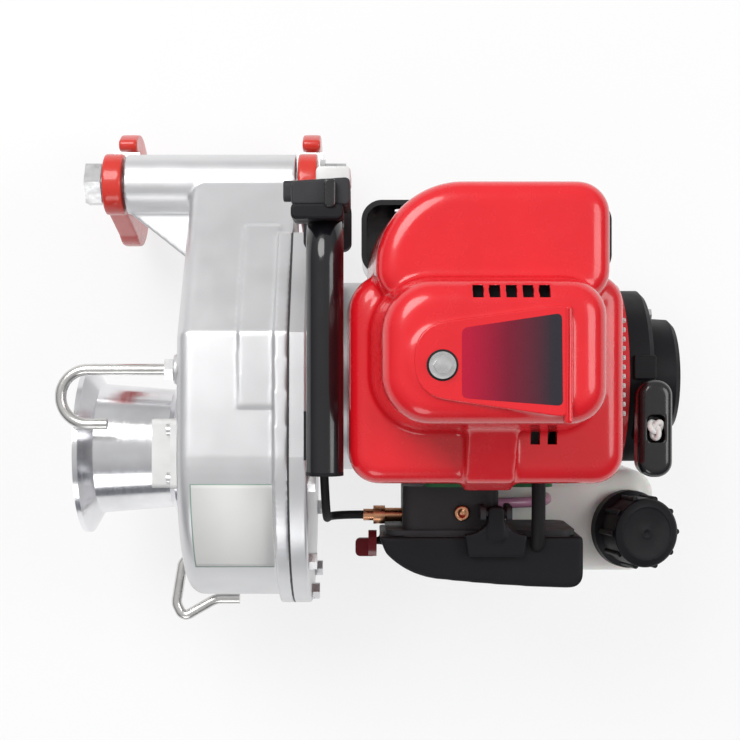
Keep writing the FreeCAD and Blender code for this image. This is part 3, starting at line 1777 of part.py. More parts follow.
# Screws on the top cover and round the starter
engine_screws = []
top_head = hexagon("top_head", "4.4", "5", *screw_place, "shroud_top + 2", Vector(0, 0, 1))
top_flange = cylinder("top_flange", "6.5", "1.6", *screw_place, "shroud_top + 2", Vector(0, 0, 1))
top_shank = cylinder("top_shank", "3 - seat_gap", "8", *screw_place, "shroud_top - 5", Vector(0, 0, 1))
engine_screws.append(fuse("top_screw", [top_head, top_flange, top_shank]))
for index in range(3):
    angle = math.radians(30 + 120 * index)
    reach = number("(starter_disc_radius - 3 + starter_cup_radius) / 2")
    engine_screws.append(
        hexagon(
            f"starter_screw_{index}",
            "4",
            "3",
            f"{fan_end} + starter_disc_length",
            number("crank_offset") + reach * math.cos(angle),
            axis_height + reach * math.sin(angle),
        )
    )
group("engine_screws", engine_screws)

# Muffler and its guard
guard = new_body("muffler_guard")
pad(
    guard,
    rounded_box(
        new_sketch(guard, "XY_Plane", "guard_bottom"),
        "guard_left",
        "guard_right",
        "guard_front",
        "guard_rear",
        "12",
    ),
    "guard_top - guard_bottom",
)
pad(
    guard,
    rounded_box(
        new_sketch(guard, "XZ_Plane", "-guard_front - 1"),
        "engine_face + 18",
        "crankcase_end - 18",
        "guard_bottom + 6",
        "guard_bottom + 34",
        "5",
    ),
    f"guard_front + 1 - ({case_high})",
)
pocket(
    guard,
    rounded_box(
        new_sketch(guard, "XY_Plane", "guard_bottom + shroud_wall"),
        "guard_left + shroud_wall",
        "guard_right - shroud_wall",
        "guard_front + shroud_wall",
        "guard_rear - shroud_wall",
        "9",
    ),
    "guard_top - guard_bottom",
)
louvre_sketch = new_sketch(guard, "XZ_Plane", "-guard_rear - 1")
for index in range(5):
    rounded_box(
        louvre_sketch,
        f"guard_left + 20 + {index} * 21",
        f"guard_left + 35 + {index} * 21",
        "guard_bottom + 20",
        "guard_bottom + 60",
        "3",
    )
pocket(guard, louvre_sketch, "shroud_wall + 2")
muffler = new_body("muffler")
muffler_front = "guard_front + shroud_wall + 2"
pad(
    muffler,
    rounded_box(
        new_sketch(muffler, "XY_Plane", "guard_bottom + shroud_wall"),
        "guard_left + 30",
        "guard_right - 24",
        muffler_front,
        "guard_rear - shroud_wall - 6",
        "10",
    ),
    "hood_top - guard_bottom - 46",
)
pad(
    muffler,
    ring(
        new_sketch(muffler, "XZ_Plane", f"-({muffler_front}) - 2"), "cylinder_x", "crankcase_top + 70", "11"
    ),
    f"{muffler_front} + 2 - crank_offset - fin_half",
)
pocket(
    muffler,
    rounded_box(
        new_sketch(muffler, "XY_Plane", "guard_bottom + 2 * shroud_wall"),
        "guard_left + 33",
        "guard_right - 27",
        f"{muffler_front} + 3",
        "guard_rear - shroud_wall - 9",
        "7",
    ),
    "hood_top - guard_bottom - 46 - 2 * shroud_wall",
)
pocket(
    muffler,
    ring(
        new_sketch(muffler, "XZ_Plane", f"-({muffler_front}) - 5"), "cylinder_x", "crankcase_top + 70", "8"
    ),
    f"{muffler_front} + 5 - crank_offset - fin_half",
)

# Carburettor, its gasket, the air cleaner and its latch
plate_y = "cleaner_back + 3"
carburettor = new_body("carburettor")
carb_left = f"{ferrule_x} + 23"
pad(
    carburettor,
    rounded_box(
        new_sketch(carburettor, "XZ_Plane", "-gasket_y + 2"),
        carb_left,
        "cylinder_x + 19",
        "crankcase_top - 40",
        "crankcase_top + 16",
        "6",
    ),
    f"gasket_y - 2 - ({plate_y}) + 1",
)
pad(
    carburettor,
    rounded_box(
        new_sketch(carburettor, "XZ_Plane", f"-({plate_y})"),
        "cleaner_left + 4",
        "cleaner_right - 4",
        "cleaner_bottom + 4",
        "cleaner_top - 4",
        "8",
    ),
    f"{plate_y} - cleaner_back",
)
latch_y, latch_z = "cleaner_back + 14", "cleaner_top + 5"
for side in ("cylinder_x + 7", "cylinder_x + 22"):
    pad(
        carburettor,
        rounded_box(
            new_sketch(carburettor, "YZ_Plane", side),
            f"{latch_y} - 4",
            f"{latch_y} + 4",
            "crankcase_top + 8",
            f"{latch_z} + 4",
            "3",
        ),
        "3",
    )
pad(
    carburettor,
    ring(new_sketch(carburettor, "YZ_Plane", "cylinder_x + 8"), latch_y, latch_z, "2.2"),
    "16",
)
insulator = new_body("carburettor_gasket")
pad(
    insulator,
    rounded_box(
        new_sketch(insulator, "XZ_Plane", "-gasket_y"),
        "cylinder_x - 24",
        "cylinder_x + 50",
        "crankcase_top - 36",
        "shroud_bottom - 2",
        "6",
    ),
    "2",
)
cleaner = new_body("air_cleaner_cover")
pad(
    cleaner,
    outline(
        new_sketch(cleaner, "XY_Plane", "cleaner_bottom"),
        [
            ("cleaner_left", "cleaner_back"),
            ("cleaner_left + 4", "cleaner_front + 20", "48"),
            ("cleaner_left + 36", "cleaner_front + 5", "900"),
            ("cleaner_right - 8", "cleaner_front", "8"),
            ("cleaner_right", "cleaner_front + 8"),
            ("cleaner_right", "cleaner_back"),
        ],
    ),
    "cleaner_top - cleaner_bottom",
)
pocket(
    cleaner,
    rounded_box(
        new_sketch(cleaner, "XZ_Plane", "-cleaner_back"),
        "cleaner_left + 12",
        "cleaner_right - 6",
        "cleaner_bottom + shroud_wall",
        "cleaner_top - shroud_wall",
        "6",
    ),
    "14",
)
pad(
    cleaner,
    ring(
        new_sketch(cleaner, "YZ_Plane", "cleaner_left - 6"),
        "cleaner_back - 7",
        "cleaner_bottom + 30",
        "2.5",
    ),
    "12",
)
air_filter = new_body("air_filter")
pad(
    air_filter,
    rounded_box(
        new_sketch(air_filter, "XZ_Plane", "-cleaner_back"),
        "cleaner_left + 13",
        "cleaner_right - 7",
        "cleaner_bottom + shroud_wall + 0.5",
        "cleaner_top - shroud_wall - 0.5",
        "5",
    ),
    "14",
)
clip = new_body("air_cleaner_latch")
clip_middle = "cylinder_x + 16"
pad(
    clip,
    outline(
        new_sketch(clip, "XY_Plane", f"{latch_z} - 3.5"),
        [
            (f"{clip_middle} - 16", f"{latch_y} - 25"),
            (f"{clip_middle} + 16", f"{latch_y} - 25"),
            (f"{clip_middle} + 18", f"{latch_y} - 12", "-14"),
            (f"{clip_middle} + 5", f"{latch_y} - 5"),
            (f"{clip_middle} - 5", f"{latch_y} - 5", "-14"),
            (f"{clip_middle} - 18", f"{latch_y} - 12"),
        ],
    ),
    "6",
)
pad(
    clip,
    rounded_box(
        new_sketch(clip, "XY_Plane", f"{latch_z} - 3.5"),
        f"{clip_middle} - 5",
        f"{clip_middle} + 5",
        f"{latch_y} - 16",
        f"{latch_y} + 4",
        "3",
    ),
    "7",
)
pocket(
    clip,
    ring(new_sketch(clip, "YZ_Plane", f"{clip_middle} - 8"), latch_y, latch_z, "2.2 + running_gap"),
    "16",
)
choke = new_body("choke_lever")
choke_place = ("cleaner_back - 7", "cleaner_bottom + 30")
pad(choke, ring(new_sketch(choke, "YZ_Plane", "cleaner_left - 6"), *choke_place, "6.5"), "5")
pad(
    choke,
    outline(
        new_sketch(choke, "YZ_Plane", "cleaner_left - 6"),
        [
            ("cleaner_back - 12", "cleaner_bottom + 33"),
            ("cleaner_back - 19", "cleaner_bottom + 8"),
            ("cleaner_back - 8", "cleaner_bottom + 5"),
            ("cleaner_back - 2", "cleaner_bottom + 28"),
        ],
    ),
    "5",
)
pad(
    choke,
    rounded_box(
        new_sketch(choke, "XY_Plane", "cleaner_bottom + 4"),
        "cleaner_left - 14",
        "cleaner_left - 1",
        "cleaner_back - 19",
        "cleaner_back - 8",
        "3",
    ),
    "5",
)
pocket(
    choke,
    ring(new_sketch(choke, "YZ_Plane", "cleaner_left - 15"), *choke_place, "2.5 + running_gap"),
    "16",
)
set_shape(
    "breather_tube",
    bent_rod(
        [
            Vector(number("cylinder_x + 40"), number("shroud_front"), number("shroud_bottom + 10")),
            Vector(number("cylinder_x + 40"), number("cleaner_back - 5"), number("shroud_bottom + 10")),
            Vector(number("cylinder_x + 40"), number("cleaner_back - 5"), number("cleaner_top")),
        ],
        [5],
        4,
    ),
)

# Fuel tank with its tilted neck, the cap and the hose
tank_body = new_body("tank_block", whole=False)
pad(
    tank_body,
    rounded_box(
        new_sketch(tank_body, "XY_Plane", "tank_bottom"),
        "tank_left",
        "tank_right",
        "tank_front",
        "tank_back",
        "16",
    ),
    "tank_top - tank_bottom",
)
round_edges(tank_body, "12", flat_at("Z", "tank_top"))
round_edges(tank_body, "8", flat_at("Z", "tank_bottom"))
tilt = math.radians(number("filler_tilt"))
neck_way = Vector(math.sin(tilt), 0, math.cos(tilt))
neck = cylinder("neck", "neck_radius", "neck_height + 14", "filler_x", "filler_y", "tank_top - 14", neck_way)
as_sub_part(fuse("fuel_tank", [tank_body, neck]), "fuel_tank")
cap_start = number("neck_height + 14") - 8
cap_place = Vector(number("filler_x"), number("filler_y"), number("tank_top") - 14) + neck_way * cap_start
cap = new_body("fuel_cap", *cap_place)
cap.Placement.Rotation = FreeCAD.Rotation(TILT_AXIS, number("filler_tilt"))
turn(
    cap,
    outline(
        new_sketch(cap, "XZ_Plane"),
        [
            ("neck_radius + 0.3", "0"),
            ("cap_base_radius", "0"),
            ("cap_base_radius", "6"),
            ("cap_top_radius", "9"),
            ("cap_top_radius", "cap_height - 2"),
            ("cap_top_radius - 2", "cap_height"),
            ("0", "cap_height"),
            ("0", "8.1"),
            ("neck_radius + 0.3", "8.1"),
        ],
    ),
    "V_Axis",
)
rib_sketch = new_sketch(cap, "XY_Plane", "8")
for index in range(int(number("cap_ribs"))):
    angle = 360 / number("cap_ribs") * index
    ring(rib_sketch, f"cap_top_radius * cos({angle})", f"cap_top_radius * sin({angle})", "1.8")
pad(cap, rib_sketch, "cap_height - 11")
hose_x, hose_y, hose_z = number("cylinder_x + 54"), number("cleaner_back + 16"), number("crankcase_top - 12")
set_shape(
    "fuel_hose",
    bent_rod(
        [
            Vector(hose_x, hose_y, number("tank_top")),
            Vector(hose_x, hose_y, hose_z),
            Vector(number("cylinder_x + 19"), hose_y, hose_z),
        ],
        [14],
        3.2,
    ),
)

# Checks and export
doc.recompute()
for item in doc.Objects:
    faults = {"Invalid", "Error"} & set(item.State)
    if faults:
        raise ValueError(f"{item.Label}: {faults}")
os.makedirs("parts", exist_ok=True)
for item in sub_parts:
    if item.Shape.isNull() or not item.Shape.isValid():
        raise ValueError(f"{item.Label} has no valid shape")
    item.Shape.exportStep(f"parts/{item.Label}.step")
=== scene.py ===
"""Dresses the capstan winch: materials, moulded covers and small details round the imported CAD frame."""

import json
import math

import bmesh
import bpy
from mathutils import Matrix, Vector


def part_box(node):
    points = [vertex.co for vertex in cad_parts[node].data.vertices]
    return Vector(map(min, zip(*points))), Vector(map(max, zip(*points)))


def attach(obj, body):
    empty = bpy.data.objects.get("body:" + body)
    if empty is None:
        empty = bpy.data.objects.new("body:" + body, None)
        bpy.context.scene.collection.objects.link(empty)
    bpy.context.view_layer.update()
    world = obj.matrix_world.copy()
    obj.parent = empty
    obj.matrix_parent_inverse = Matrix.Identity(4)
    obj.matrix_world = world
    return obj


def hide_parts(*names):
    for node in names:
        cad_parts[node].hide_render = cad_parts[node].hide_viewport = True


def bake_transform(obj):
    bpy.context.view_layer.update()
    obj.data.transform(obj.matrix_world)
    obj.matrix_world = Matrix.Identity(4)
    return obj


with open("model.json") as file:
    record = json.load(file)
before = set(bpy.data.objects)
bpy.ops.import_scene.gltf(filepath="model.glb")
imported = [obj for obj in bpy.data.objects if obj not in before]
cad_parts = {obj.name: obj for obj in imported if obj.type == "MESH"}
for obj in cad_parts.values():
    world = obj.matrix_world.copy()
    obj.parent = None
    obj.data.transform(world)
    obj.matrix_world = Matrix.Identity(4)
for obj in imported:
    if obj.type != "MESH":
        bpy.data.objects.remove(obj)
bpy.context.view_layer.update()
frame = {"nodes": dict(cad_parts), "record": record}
nodes = frame["nodes"]
FRAME_BODY = "winch_frame"
MM = 0.001

# Photograph: a view from straight above
PHOTO_SIZE = 740
FOCAL_PIXELS = 1430
SENSOR_MM = 36.0
CAMERA_PLACE = (0.078, 0.0487, 1.008)


def mm(*values):
    """A point given in millimetres."""
    return Vector([v * MM for v in values])


def photo_point(px, py, z_mm):
    """Where a pixel of the photograph lies at that height, in millimetres."""
    reach = (CAMERA_PLACE[2] / MM - z_mm) / FOCAL_PIXELS
    middle = PHOTO_SIZE / 2
    return ((px - middle) * reach + CAMERA_PLACE[0] / MM, (middle - py) * reach + CAMERA_PLACE[1] / MM)


# Materials
class Nodes:
    """A material's node tree with short calls for the nodes used here."""

    def __init__(self, name):
        self.material = bpy.data.materials.new(name)
        self.material.use_nodes = True
        self.tree = self.material.node_tree
        self.shader = self.tree.nodes["Principled BSDF"]
        self.place = self.new("ShaderNodeTexCoord").outputs["Object"]

    def new(self, kind, **settings):
        node = self.tree.nodes.new(kind)
        for key, value in settings.items():
            setattr(node, key, value)
        return node

    def link(self, source, target):
        self.tree.links.new(source, target)

    def noise(self, scale, detail=3.0, roughness=0.55, stretch=None):
        node = self.new("ShaderNodeTexNoise")
        node.inputs["Scale"].default_value = scale
        node.inputs["Detail"].default_value = detail
        node.inputs["Roughness"].default_value = roughness
        source = self.place
        if stretch is not None:
            mapping = self.new("ShaderNodeMapping")
            mapping.inputs["Scale"].default_value = stretch
            self.link(self.place, mapping.inputs["Vector"])
            source = mapping.outputs["Vector"]
        self.link(source, node.inputs["Vector"])
        return node.outputs["Fac"]

    def ramp(self, value, stops):
        node = self.new("ShaderNodeValToRGB")
        elements = node.color_ramp.elements
        while len(elements) < len(stops):
            elements.new(0.5)
        for element, (place, colour) in zip(elements, stops):
            element.position = place
            element.color = (*colour, 1.0)
        self.link(value, node.inputs["Fac"])
        return node.outputs["Color"]

    def span(self, value, low, high):
        node = self.new("ShaderNodeMapRange")
        node.inputs["From Min"].default_value = 0.3
        node.inputs["From Max"].default_value = 0.7
        node.inputs["To Min"].default_value = low
        node.inputs["To Max"].default_value = high
        self.link(value, node.inputs["Value"])
        return node.outputs["Result"]

    def bump(self, value, strength, distance, below=None):
        node = self.new("ShaderNodeBump")
        node.inputs["Strength"].default_value = strength
        node.inputs["Distance"].default_value = distance
        self.link(value, node.inputs["Height"])
        if below is not None:
            self.link(below, node.inputs["Normal"])
        return node.outputs["Normal"]

    def set(self, **values):
        for key, value in values.items():
            self.shader.inputs[key.replace("_", " ")].default_value = value

    def feed(self, **sources):
        for key, source in sources.items():
            self.link(source, self.shader.inputs[key.replace("_", " ")])


def shade(colour, factor):
    """A colour made darker or lighter by a factor."""
    return tuple(min(1.0, c * factor) for c in colour)


def cast_metal():
    """Shot-blasted cast aluminium: a fine grain, slow tone changes and uneven gloss."""
    n = Nodes("cast_aluminium_look")
    base = (0.72, 0.72, 0.73)
    tone = n.noise(9, 4)
    n.feed(Base_Color=n.ramp(tone, [(0.3, shade(base, 0.95)), (0.7, shade(base, 1.04))]))
    n.set(Metallic=0.85)
    n.feed(Roughness=n.span(n.noise(60, 4), 0.36, 0.44))
    grain = n.bump(n.noise(1400, 2), 0.10, 0.0002)
    n.feed(Normal=n.bump(n.noise(40, 3), 0.015, 0.001, below=grain))
    return n.material


def turned_metal(name, base, low, high, pitch):
    """Machined metal with fine tool rings round an axis along X."""
    n = Nodes(name)
    rings = n.noise(pitch, 3, stretch=(1.0, 0.02, 0.02))
    n.feed(Base_Color=n.ramp(n.noise(30, 3), [(0.3, shade(base, 0.88)), (0.7, shade(base, 1.08))]))
    n.set(Metallic=1.0)
    n.feed(Roughness=n.span(rings, low, high))
    n.feed(Normal=n.bump(rings, 0.02, 0.0001))
    return n.material


def plain_metal(name, base, low, high, grain=220, strength=0.03):
    """Plated or brushed metal with uneven gloss."""
    n = Nodes(name)
    n.feed(Base_Color=n.ramp(n.noise(45, 4), [(0.3, shade(base, 0.82)), (0.72, shade(base, 1.1))]))
    n.set(Metallic=1.0)
    n.feed(Roughness=n.span(n.noise(grain, 3), low, high))
    n.feed(Normal=n.bump(n.noise(grain, 2), strength, 0.0001))
    return n.material


def gloss_coat(name, base, rough=0.28, peel=0.05, variation=0.06):
    """Glossy paint or moulded plastic with a slight orange peel."""
    n = Nodes(name)
    tone = n.noise(14, 3)
    n.feed(Base_Color=n.ramp(tone, [(0.3, shade(base, 1 - variation)), (0.7, shade(base, 1 + variation))]))
    n.set(Coat_Weight=0.5, Coat_Roughness=0.05, Specular_IOR_Level=0.35)
    n.feed(Roughness=n.span(n.noise(90, 3), rough, rough + 0.1))
    n.feed(Normal=n.bump(n.noise(260, 2), peel, 0.0004))
    return n.material


def grained_plastic(name, base, low=0.42, high=0.58, grain=900, strength=0.22, variation=0.16):
    """Matte moulded plastic or rubber with a fine spark-eroded grain."""
    n = Nodes(name)
    stops = [(0.3, shade(base, 1 - variation)), (0.7, shade(base, 1 + variation))]
    n.feed(Base_Color=n.ramp(n.noise(25, 4), stops))
    n.set(Specular_IOR_Level=0.22)
    n.feed(Roughness=n.span(n.noise(70, 3), low, high))
    n.feed(Normal=n.bump(n.noise(grain, 2), strength, 0.0004))
    return n.material


def milky_plastic():
    """Blow-moulded tank plastic that lets some light in."""
    n = Nodes("milky_tank")
    base = (0.88, 0.87, 0.83)
    n.feed(Base_Color=n.ramp(n.noise(12, 3), [(0.3, shade(base, 0.94)), (0.7, shade(base, 1.05))]))
    n.set(Subsurface_Weight=0.35, Subsurface_Scale=0.006, Coat_Weight=0.2, Coat_Roughness=0.2)
    n.feed(Roughness=n.span(n.noise(80, 3), 0.3, 0.42))
    n.feed(Normal=n.bump(n.noise(300, 2), 0.06, 0.0005))
    return n.material


LABEL_SPAN = (0.124, 0.172)


def decal_fade():
    """A blank label that fades from red on the left to black on the right."""
    n = Nodes("label_fade")
    split = n.new("ShaderNodeSeparateXYZ")
    n.link(n.place, split.inputs["Vector"])
    reach = n.new("ShaderNodeMapRange")
    reach.inputs["From Min"].default_value = LABEL_SPAN[0]
    reach.inputs["From Max"].default_value = LABEL_SPAN[1]
    n.link(split.outputs["X"], reach.inputs["Value"])
    stops = [(0.0, (0.42, 0.003, 0.030)), (0.4, (0.17, 0.004, 0.022)), (0.85, (0.022, 0.018, 0.026))]
    n.feed(Base_Color=n.ramp(reach.outputs["Result"], stops))
    n.set(Coat_Weight=0.15, Coat_Roughness=0.08, Specular_IOR_Level=0.25)
    n.feed(Roughness=n.span(n.noise(150, 3), 0.24, 0.34))
    return n.material


RED = (0.70, 0.008, 0.016)
HOOK_RED = (0.62, 0.030, 0.018)
BLACK = (0.006, 0.006, 0.008)

LOOKS = {
    "cast_aluminium": cast_metal(),
    "machined_steel": plain_metal("machined_steel_look", (0.62, 0.62, 0.64), 0.25, 0.4),
    "drum": turned_metal("turned_drum", (0.80, 0.80, 0.82), 0.14, 0.22, 600),
    "zinc_steel": plain_metal("zinc_plate", (0.70, 0.70, 0.70), 0.24, 0.42),
    "stainless_rod": plain_metal("satin_stainless", (0.72, 0.71, 0.69), 0.22, 0.3, grain=60, strength=0.01),
    "red_paint": gloss_coat("forging_paint", HOOK_RED, rough=0.26, peel=0.02, variation=0.06),
    "black_paint": gloss_coat("black_enamel", BLACK, rough=0.14, peel=0.01),
    "red_plastic": gloss_coat("red_cover_gloss", RED, rough=0.2, peel=0.008),
    "black_plastic": grained_plastic("black_moulding", BLACK),
    "dark_plastic": grained_plastic("dark_moulding", (0.035, 0.035, 0.038)),
    # Dark red: the red moulding with painted shade, for a low part that sits in shadow
    "maroon_plastic": grained_plastic("red_moulding_painted_shade", (0.16, 0.006, 0.012)),
    "white_plastic": milky_plastic(),
    "pale_plastic": grained_plastic("pale_block", (0.72, 0.72, 0.71), strength=0.1),
    "brass": plain_metal("copper_ferrule", (0.72, 0.36, 0.20), 0.22, 0.36),
    "green_gasket": grained_plastic("green_gasket_look", (0.03, 0.16, 0.06)),
    "grey_gasket": grained_plastic("grey_gasket_look", (0.06, 0.06, 0.06)),
    "black_rubber": grained_plastic("black_rubber_look", (0.010, 0.010, 0.011), 0.5, 0.65),
    "pink_hose": gloss_coat("pink_hose_look", (0.46, 0.20, 0.32), rough=0.3),
    "white_cord": grained_plastic("white_cord_look", (0.80, 0.80, 0.78), 0.6, 0.8, grain=1500, strength=0.5),
    "grey_foam": grained_plastic("grey_foam_look", (0.05, 0.05, 0.05), 0.8, 0.95, grain=700, strength=0.8),
}
LABEL_LOOK = decal_fade()
GLOSS_BLACK = gloss_coat("gloss_black_grip", (0.010, 0.010, 0.011), rough=0.2)
PANEL_LOOK = grained_plastic(
    "blank_sticker_look", (0.76, 0.76, 0.74), 0.55, 0.65, strength=0.03, variation=0.02
)
EDGE_LOOK = grained_plastic("sticker_edge_look", (0.28, 0.40, 0.34), 0.55, 0.65, strength=0.03)
SOOTY_METAL = plain_metal("sooty_fins", (0.10, 0.10, 0.10), 0.45, 0.6)

SLOT_OF = {part["node"]: part["material_slot"] for part in frame["record"]["subparts"]}
OWN_LOOKS = {
    "capstan_drum": LOOKS["drum"],
    "cylinder": SOOTY_METAL,
    "cylinder_head": SOOTY_METAL,
    "carburettor": LOOKS["dark_plastic"],
    "starter_grip": GLOSS_BLACK,
}
for name, node in nodes.items():
    node.data.materials.clear()
    node.data.materials.append(OWN_LOOKS.get(name, LOOKS[SLOT_OF[name]]))


# Soft edges on the CAD pieces
def bevel(node, width_mm, segments=3):
    """Rounds a piece's sharp edges."""
    modifier = node.modifiers.new("edges", "BEVEL")
    modifier.width = width_mm * MM
    modifier.segments = segments
    modifier.limit_method = "ANGLE"
    modifier.angle_limit = math.radians(32)
    modifier.harden_normals = False
    for polygon in node.data.polygons:
        polygon.use_smooth = True
    node.modifiers.new("normals", "WEIGHTED_NORMAL").keep_sharp = True


def mould_round(node, voxel_mm, passes):
    """Gives a moulded or forged piece soft corners and filled-in creases."""
    remesh = node.modifiers.new("mould", "REMESH")
    remesh.mode = "VOXEL"
    remesh.voxel_size = voxel_mm * MM
    remesh.use_smooth_shade = True
    smooth = node.modifiers.new("soften", "SMOOTH")
    smooth.iterations = passes
    smooth.factor = 0.5


MOULDED = {
    "hook_left": (0.9, 14),
    "hook_right": (0.9, 14),
    "gear_housing": (1.1, 3),
    "air_cleaner_cover": (1.1, 24),
    "air_cleaner_latch": (0.7, 8),
    "starter_grip": (0.7, 5),
    "throttle_lever": (0.6, 6),
}
BEVELS = {
    1.0: ("rope_deflector", "throttle_clamp", "crankcase", "muffler_guard", "carburettor"),
    1.2: ("choke_lever", "starter_housing", "fuel_cap", "fan_housing", "housing_cover"),
    0.5: (
        "anchor_bolt",
        "anchor_nut_and_washer",
        "cover_screws",
        "guide_fasteners",
        "engine_screws",
        "drum_bolt",
    ),
}
for name, (voxel_mm, passes) in MOULDED.items():
    mould_round(nodes[name], voxel_mm, passes)
for width_mm, names in BEVELS.items():
    for name in names:
        bevel(nodes[name], width_mm)


# Mesh helpers
def new_piece(name, data, material, body=FRAME_BODY, replaced=()):
    """A finished piece that rides on a body, or on none."""
    piece = bpy.data.objects.new(name, data)
    bpy.context.collection.objects.link(piece)
    data.materials.append(material)
    if isinstance(data, bpy.types.Mesh):
        for polygon in data.polygons:
            polygon.use_smooth = True
        piece.modifiers.new("normals", "WEIGHTED_NORMAL").keep_sharp = True
    if body is not None:
        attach(piece, body)
    if replaced:
        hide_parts(*replaced)
    return piece


def mesh_from(bm, name):
    """A mesh made from worked-out faces, all facing outwards."""
    bmesh.ops.recalc_face_normals(bm, faces=bm.faces)
    mesh = bpy.data.meshes.new(name)
    bm.to_mesh(mesh)
    bm.free()
    return mesh


def round_corners(corners, radii, steps=6):
    """The corners of a flat outline, in millimetres, each drawn as a curve: one size for all, or a list."""
    points = []
    if not isinstance(radii, tuple):
        radii = (radii,) * len(corners)
    for i, (corner, radius) in enumerate(zip(corners, radii)):
        corner = Vector(corner)
        before = corner + (Vector(corners[i - 1]) - corner).normalized() * radius
        after = corner + (Vector(corners[(i + 1) % len(corners)]) - corner).normalized() * radius
        for step in range(steps + 1):
            t = step / steps
            points.append(before * (1 - t) ** 2 + corner * 2 * t * (1 - t) + after * t**2)
    return points


def plate(name, points, low, high, edge):
    """A plate with that outline between two heights, in millimetres, its upper edge rounded."""
    bm = bmesh.new()
    face = bm.faces.new([bm.verts.new(mm(point.x, point.y, low)) for point in points])
    grown = bmesh.ops.extrude_face_region(bm, geom=[face])["geom"]
    raised = [item for item in grown if isinstance(item, bmesh.types.BMVert)]
    bmesh.ops.translate(bm, verts=raised, vec=mm(0, 0, high - low))
    rim = [side for side in bm.edges if all(vertex in raised for vertex in side.verts)]
    bmesh.ops.bevel(bm, geom=rim, offset=edge * MM, segments=3, affect="EDGES", profile=0.5)
    return mesh_from(bm, name)


def skin(bm, rings):
    """Faces between rings of points, and over the first and the last."""
    for lower, upper in zip(rings, rings[1:]):
        for i in range(len(lower)):
            j = (i + 1) % len(lower)
            bm.faces.new((lower[i], lower[j], upper[j], upper[i]))
    bm.faces.new(rings[0])
    bm.faces.new(rings[-1])


def lathe(name, profile, place, axis=(0, 0, 1), steps=40):
    """A turned shape: (radius, height) pairs in millimetres round an axis through a place."""
    turn = Vector((0, 0, 1)).rotation_difference(Vector(axis)).to_matrix()
    bm = bmesh.new()
    rings = []
    for radius, height in profile:
        ring = []
        for step in range(steps):
            angle = 2 * math.pi * step / steps
            point = turn @ Vector((radius * math.cos(angle), radius * math.sin(angle), height))
            ring.append(bm.verts.new((Vector(place) + point) * MM))
        rings.append(ring)
    skin(bm, rings)
    return mesh_from(bm, name)


def tube_curve(name, points, radius_mm, closed=False):
    """A smooth round tube along points in millimetres."""
    curve = bpy.data.curves.new(name, "CURVE")
    curve.dimensions = "3D"
    curve.bevel_depth = radius_mm * MM
    curve.bevel_resolution = 6
    curve.resolution_u = 10
    curve.use_fill_caps = True
    spline = curve.splines.new("NURBS")
    spline.points.add(len(points) - 1)
    for spot, point in zip(spline.points, points):
        spot.co = (*(Vector(point) * MM), 1.0)
    spline.use_cyclic_u = closed
    spline.order_u = 3
    spline.use_endpoint_u = not closed
    return curve


def box_mesh(name, boxes):
    """Boxes between two corners each, in millimetres, as one mesh."""
    bm = bmesh.new()
    for low, high in boxes:
        low, high = Vector(low), Vector(high)
        made = bmesh.ops.create_cube(bm, size=1.0)["verts"]
        bmesh.ops.scale(bm, verts=made, vec=(high - low) * MM)
        bmesh.ops.translate(bm, verts=made, vec=(high + low) / 2 * MM)
    return mesh_from(bm, name)


def moulded_copy(name, node, voxel_mm, passes, cuts):
    """A CAD piece's mesh after its corners are softened and boxes are cut out of it."""
    work = bpy.data.objects.new(name, node.data.copy())
    cutter = bpy.data.objects.new(name + "_cutter", box_mesh(name + "_cutter", cuts))
    for thing in (work, cutter):
        bpy.context.collection.objects.link(thing)
    mould_round(work, voxel_mm, passes)
    cut = work.modifiers.new("cuts", "BOOLEAN")
    cut.object = cutter
    cut.solver = "MANIFOLD"
    mesh = bpy.data.meshes.new_from_object(work.evaluated_get(bpy.context.evaluated_depsgraph_get()))
    for thing in (work, cutter):
        bpy.data.objects.remove(thing)
    mesh.materials.clear()
    mesh.set_sharp_from_angle(angle=math.radians(45))
    return mesh


# Red cover with its slots, the blank label and small parts
PLATEAU_TOP = 327.9
LABEL_CORNERS_PX = ((462, 328), (462, 398), (563, 406), (562, 313))
REAR_SLOTS = [((127.2 + 8 * i, 83.4, 300), (132.4 + 8 * i, 89.6, 330)) for i in range(5)]
FRONT_SLOTS = [((162.4 + 9 * i, 9.5, 236), (167.4 + 9 * i, 16.5, 275)) for i in range(2)]
PANEL_CORNERS = ((99, 36.5), (175, 25.5), (175, 80.5), (99, 70))
PANEL_CURVES = (16, 9, 9, 16)
PANEL_DEPTH = 4
SCREW_PLACE = (112.5, 51.0)
GRILLE_RIBS = 11
GRILLE_FRONT = 24
GRILLE_PITCH = 5
GRILLE_RIB_WIDTH = 2.6
GRILLE_ROOT, GRILLE_FACE = 211.6, 215.2
GRILLE_LOW, GRILLE_HIGH = 204, 241
# Black sheets under the slots in the cover: painted shade, so that the slots read dark inside
SLOT_SHADOW_SHEETS = (
    ("rear_slot_painted_shadow", ((124, 80), (168, 80), (168, 90), (124, 90)), 312, 313),
    ("front_slot_painted_shadow", ((157, 5), (180, 5), (180, 20), (157, 20)), 232, 233),
)


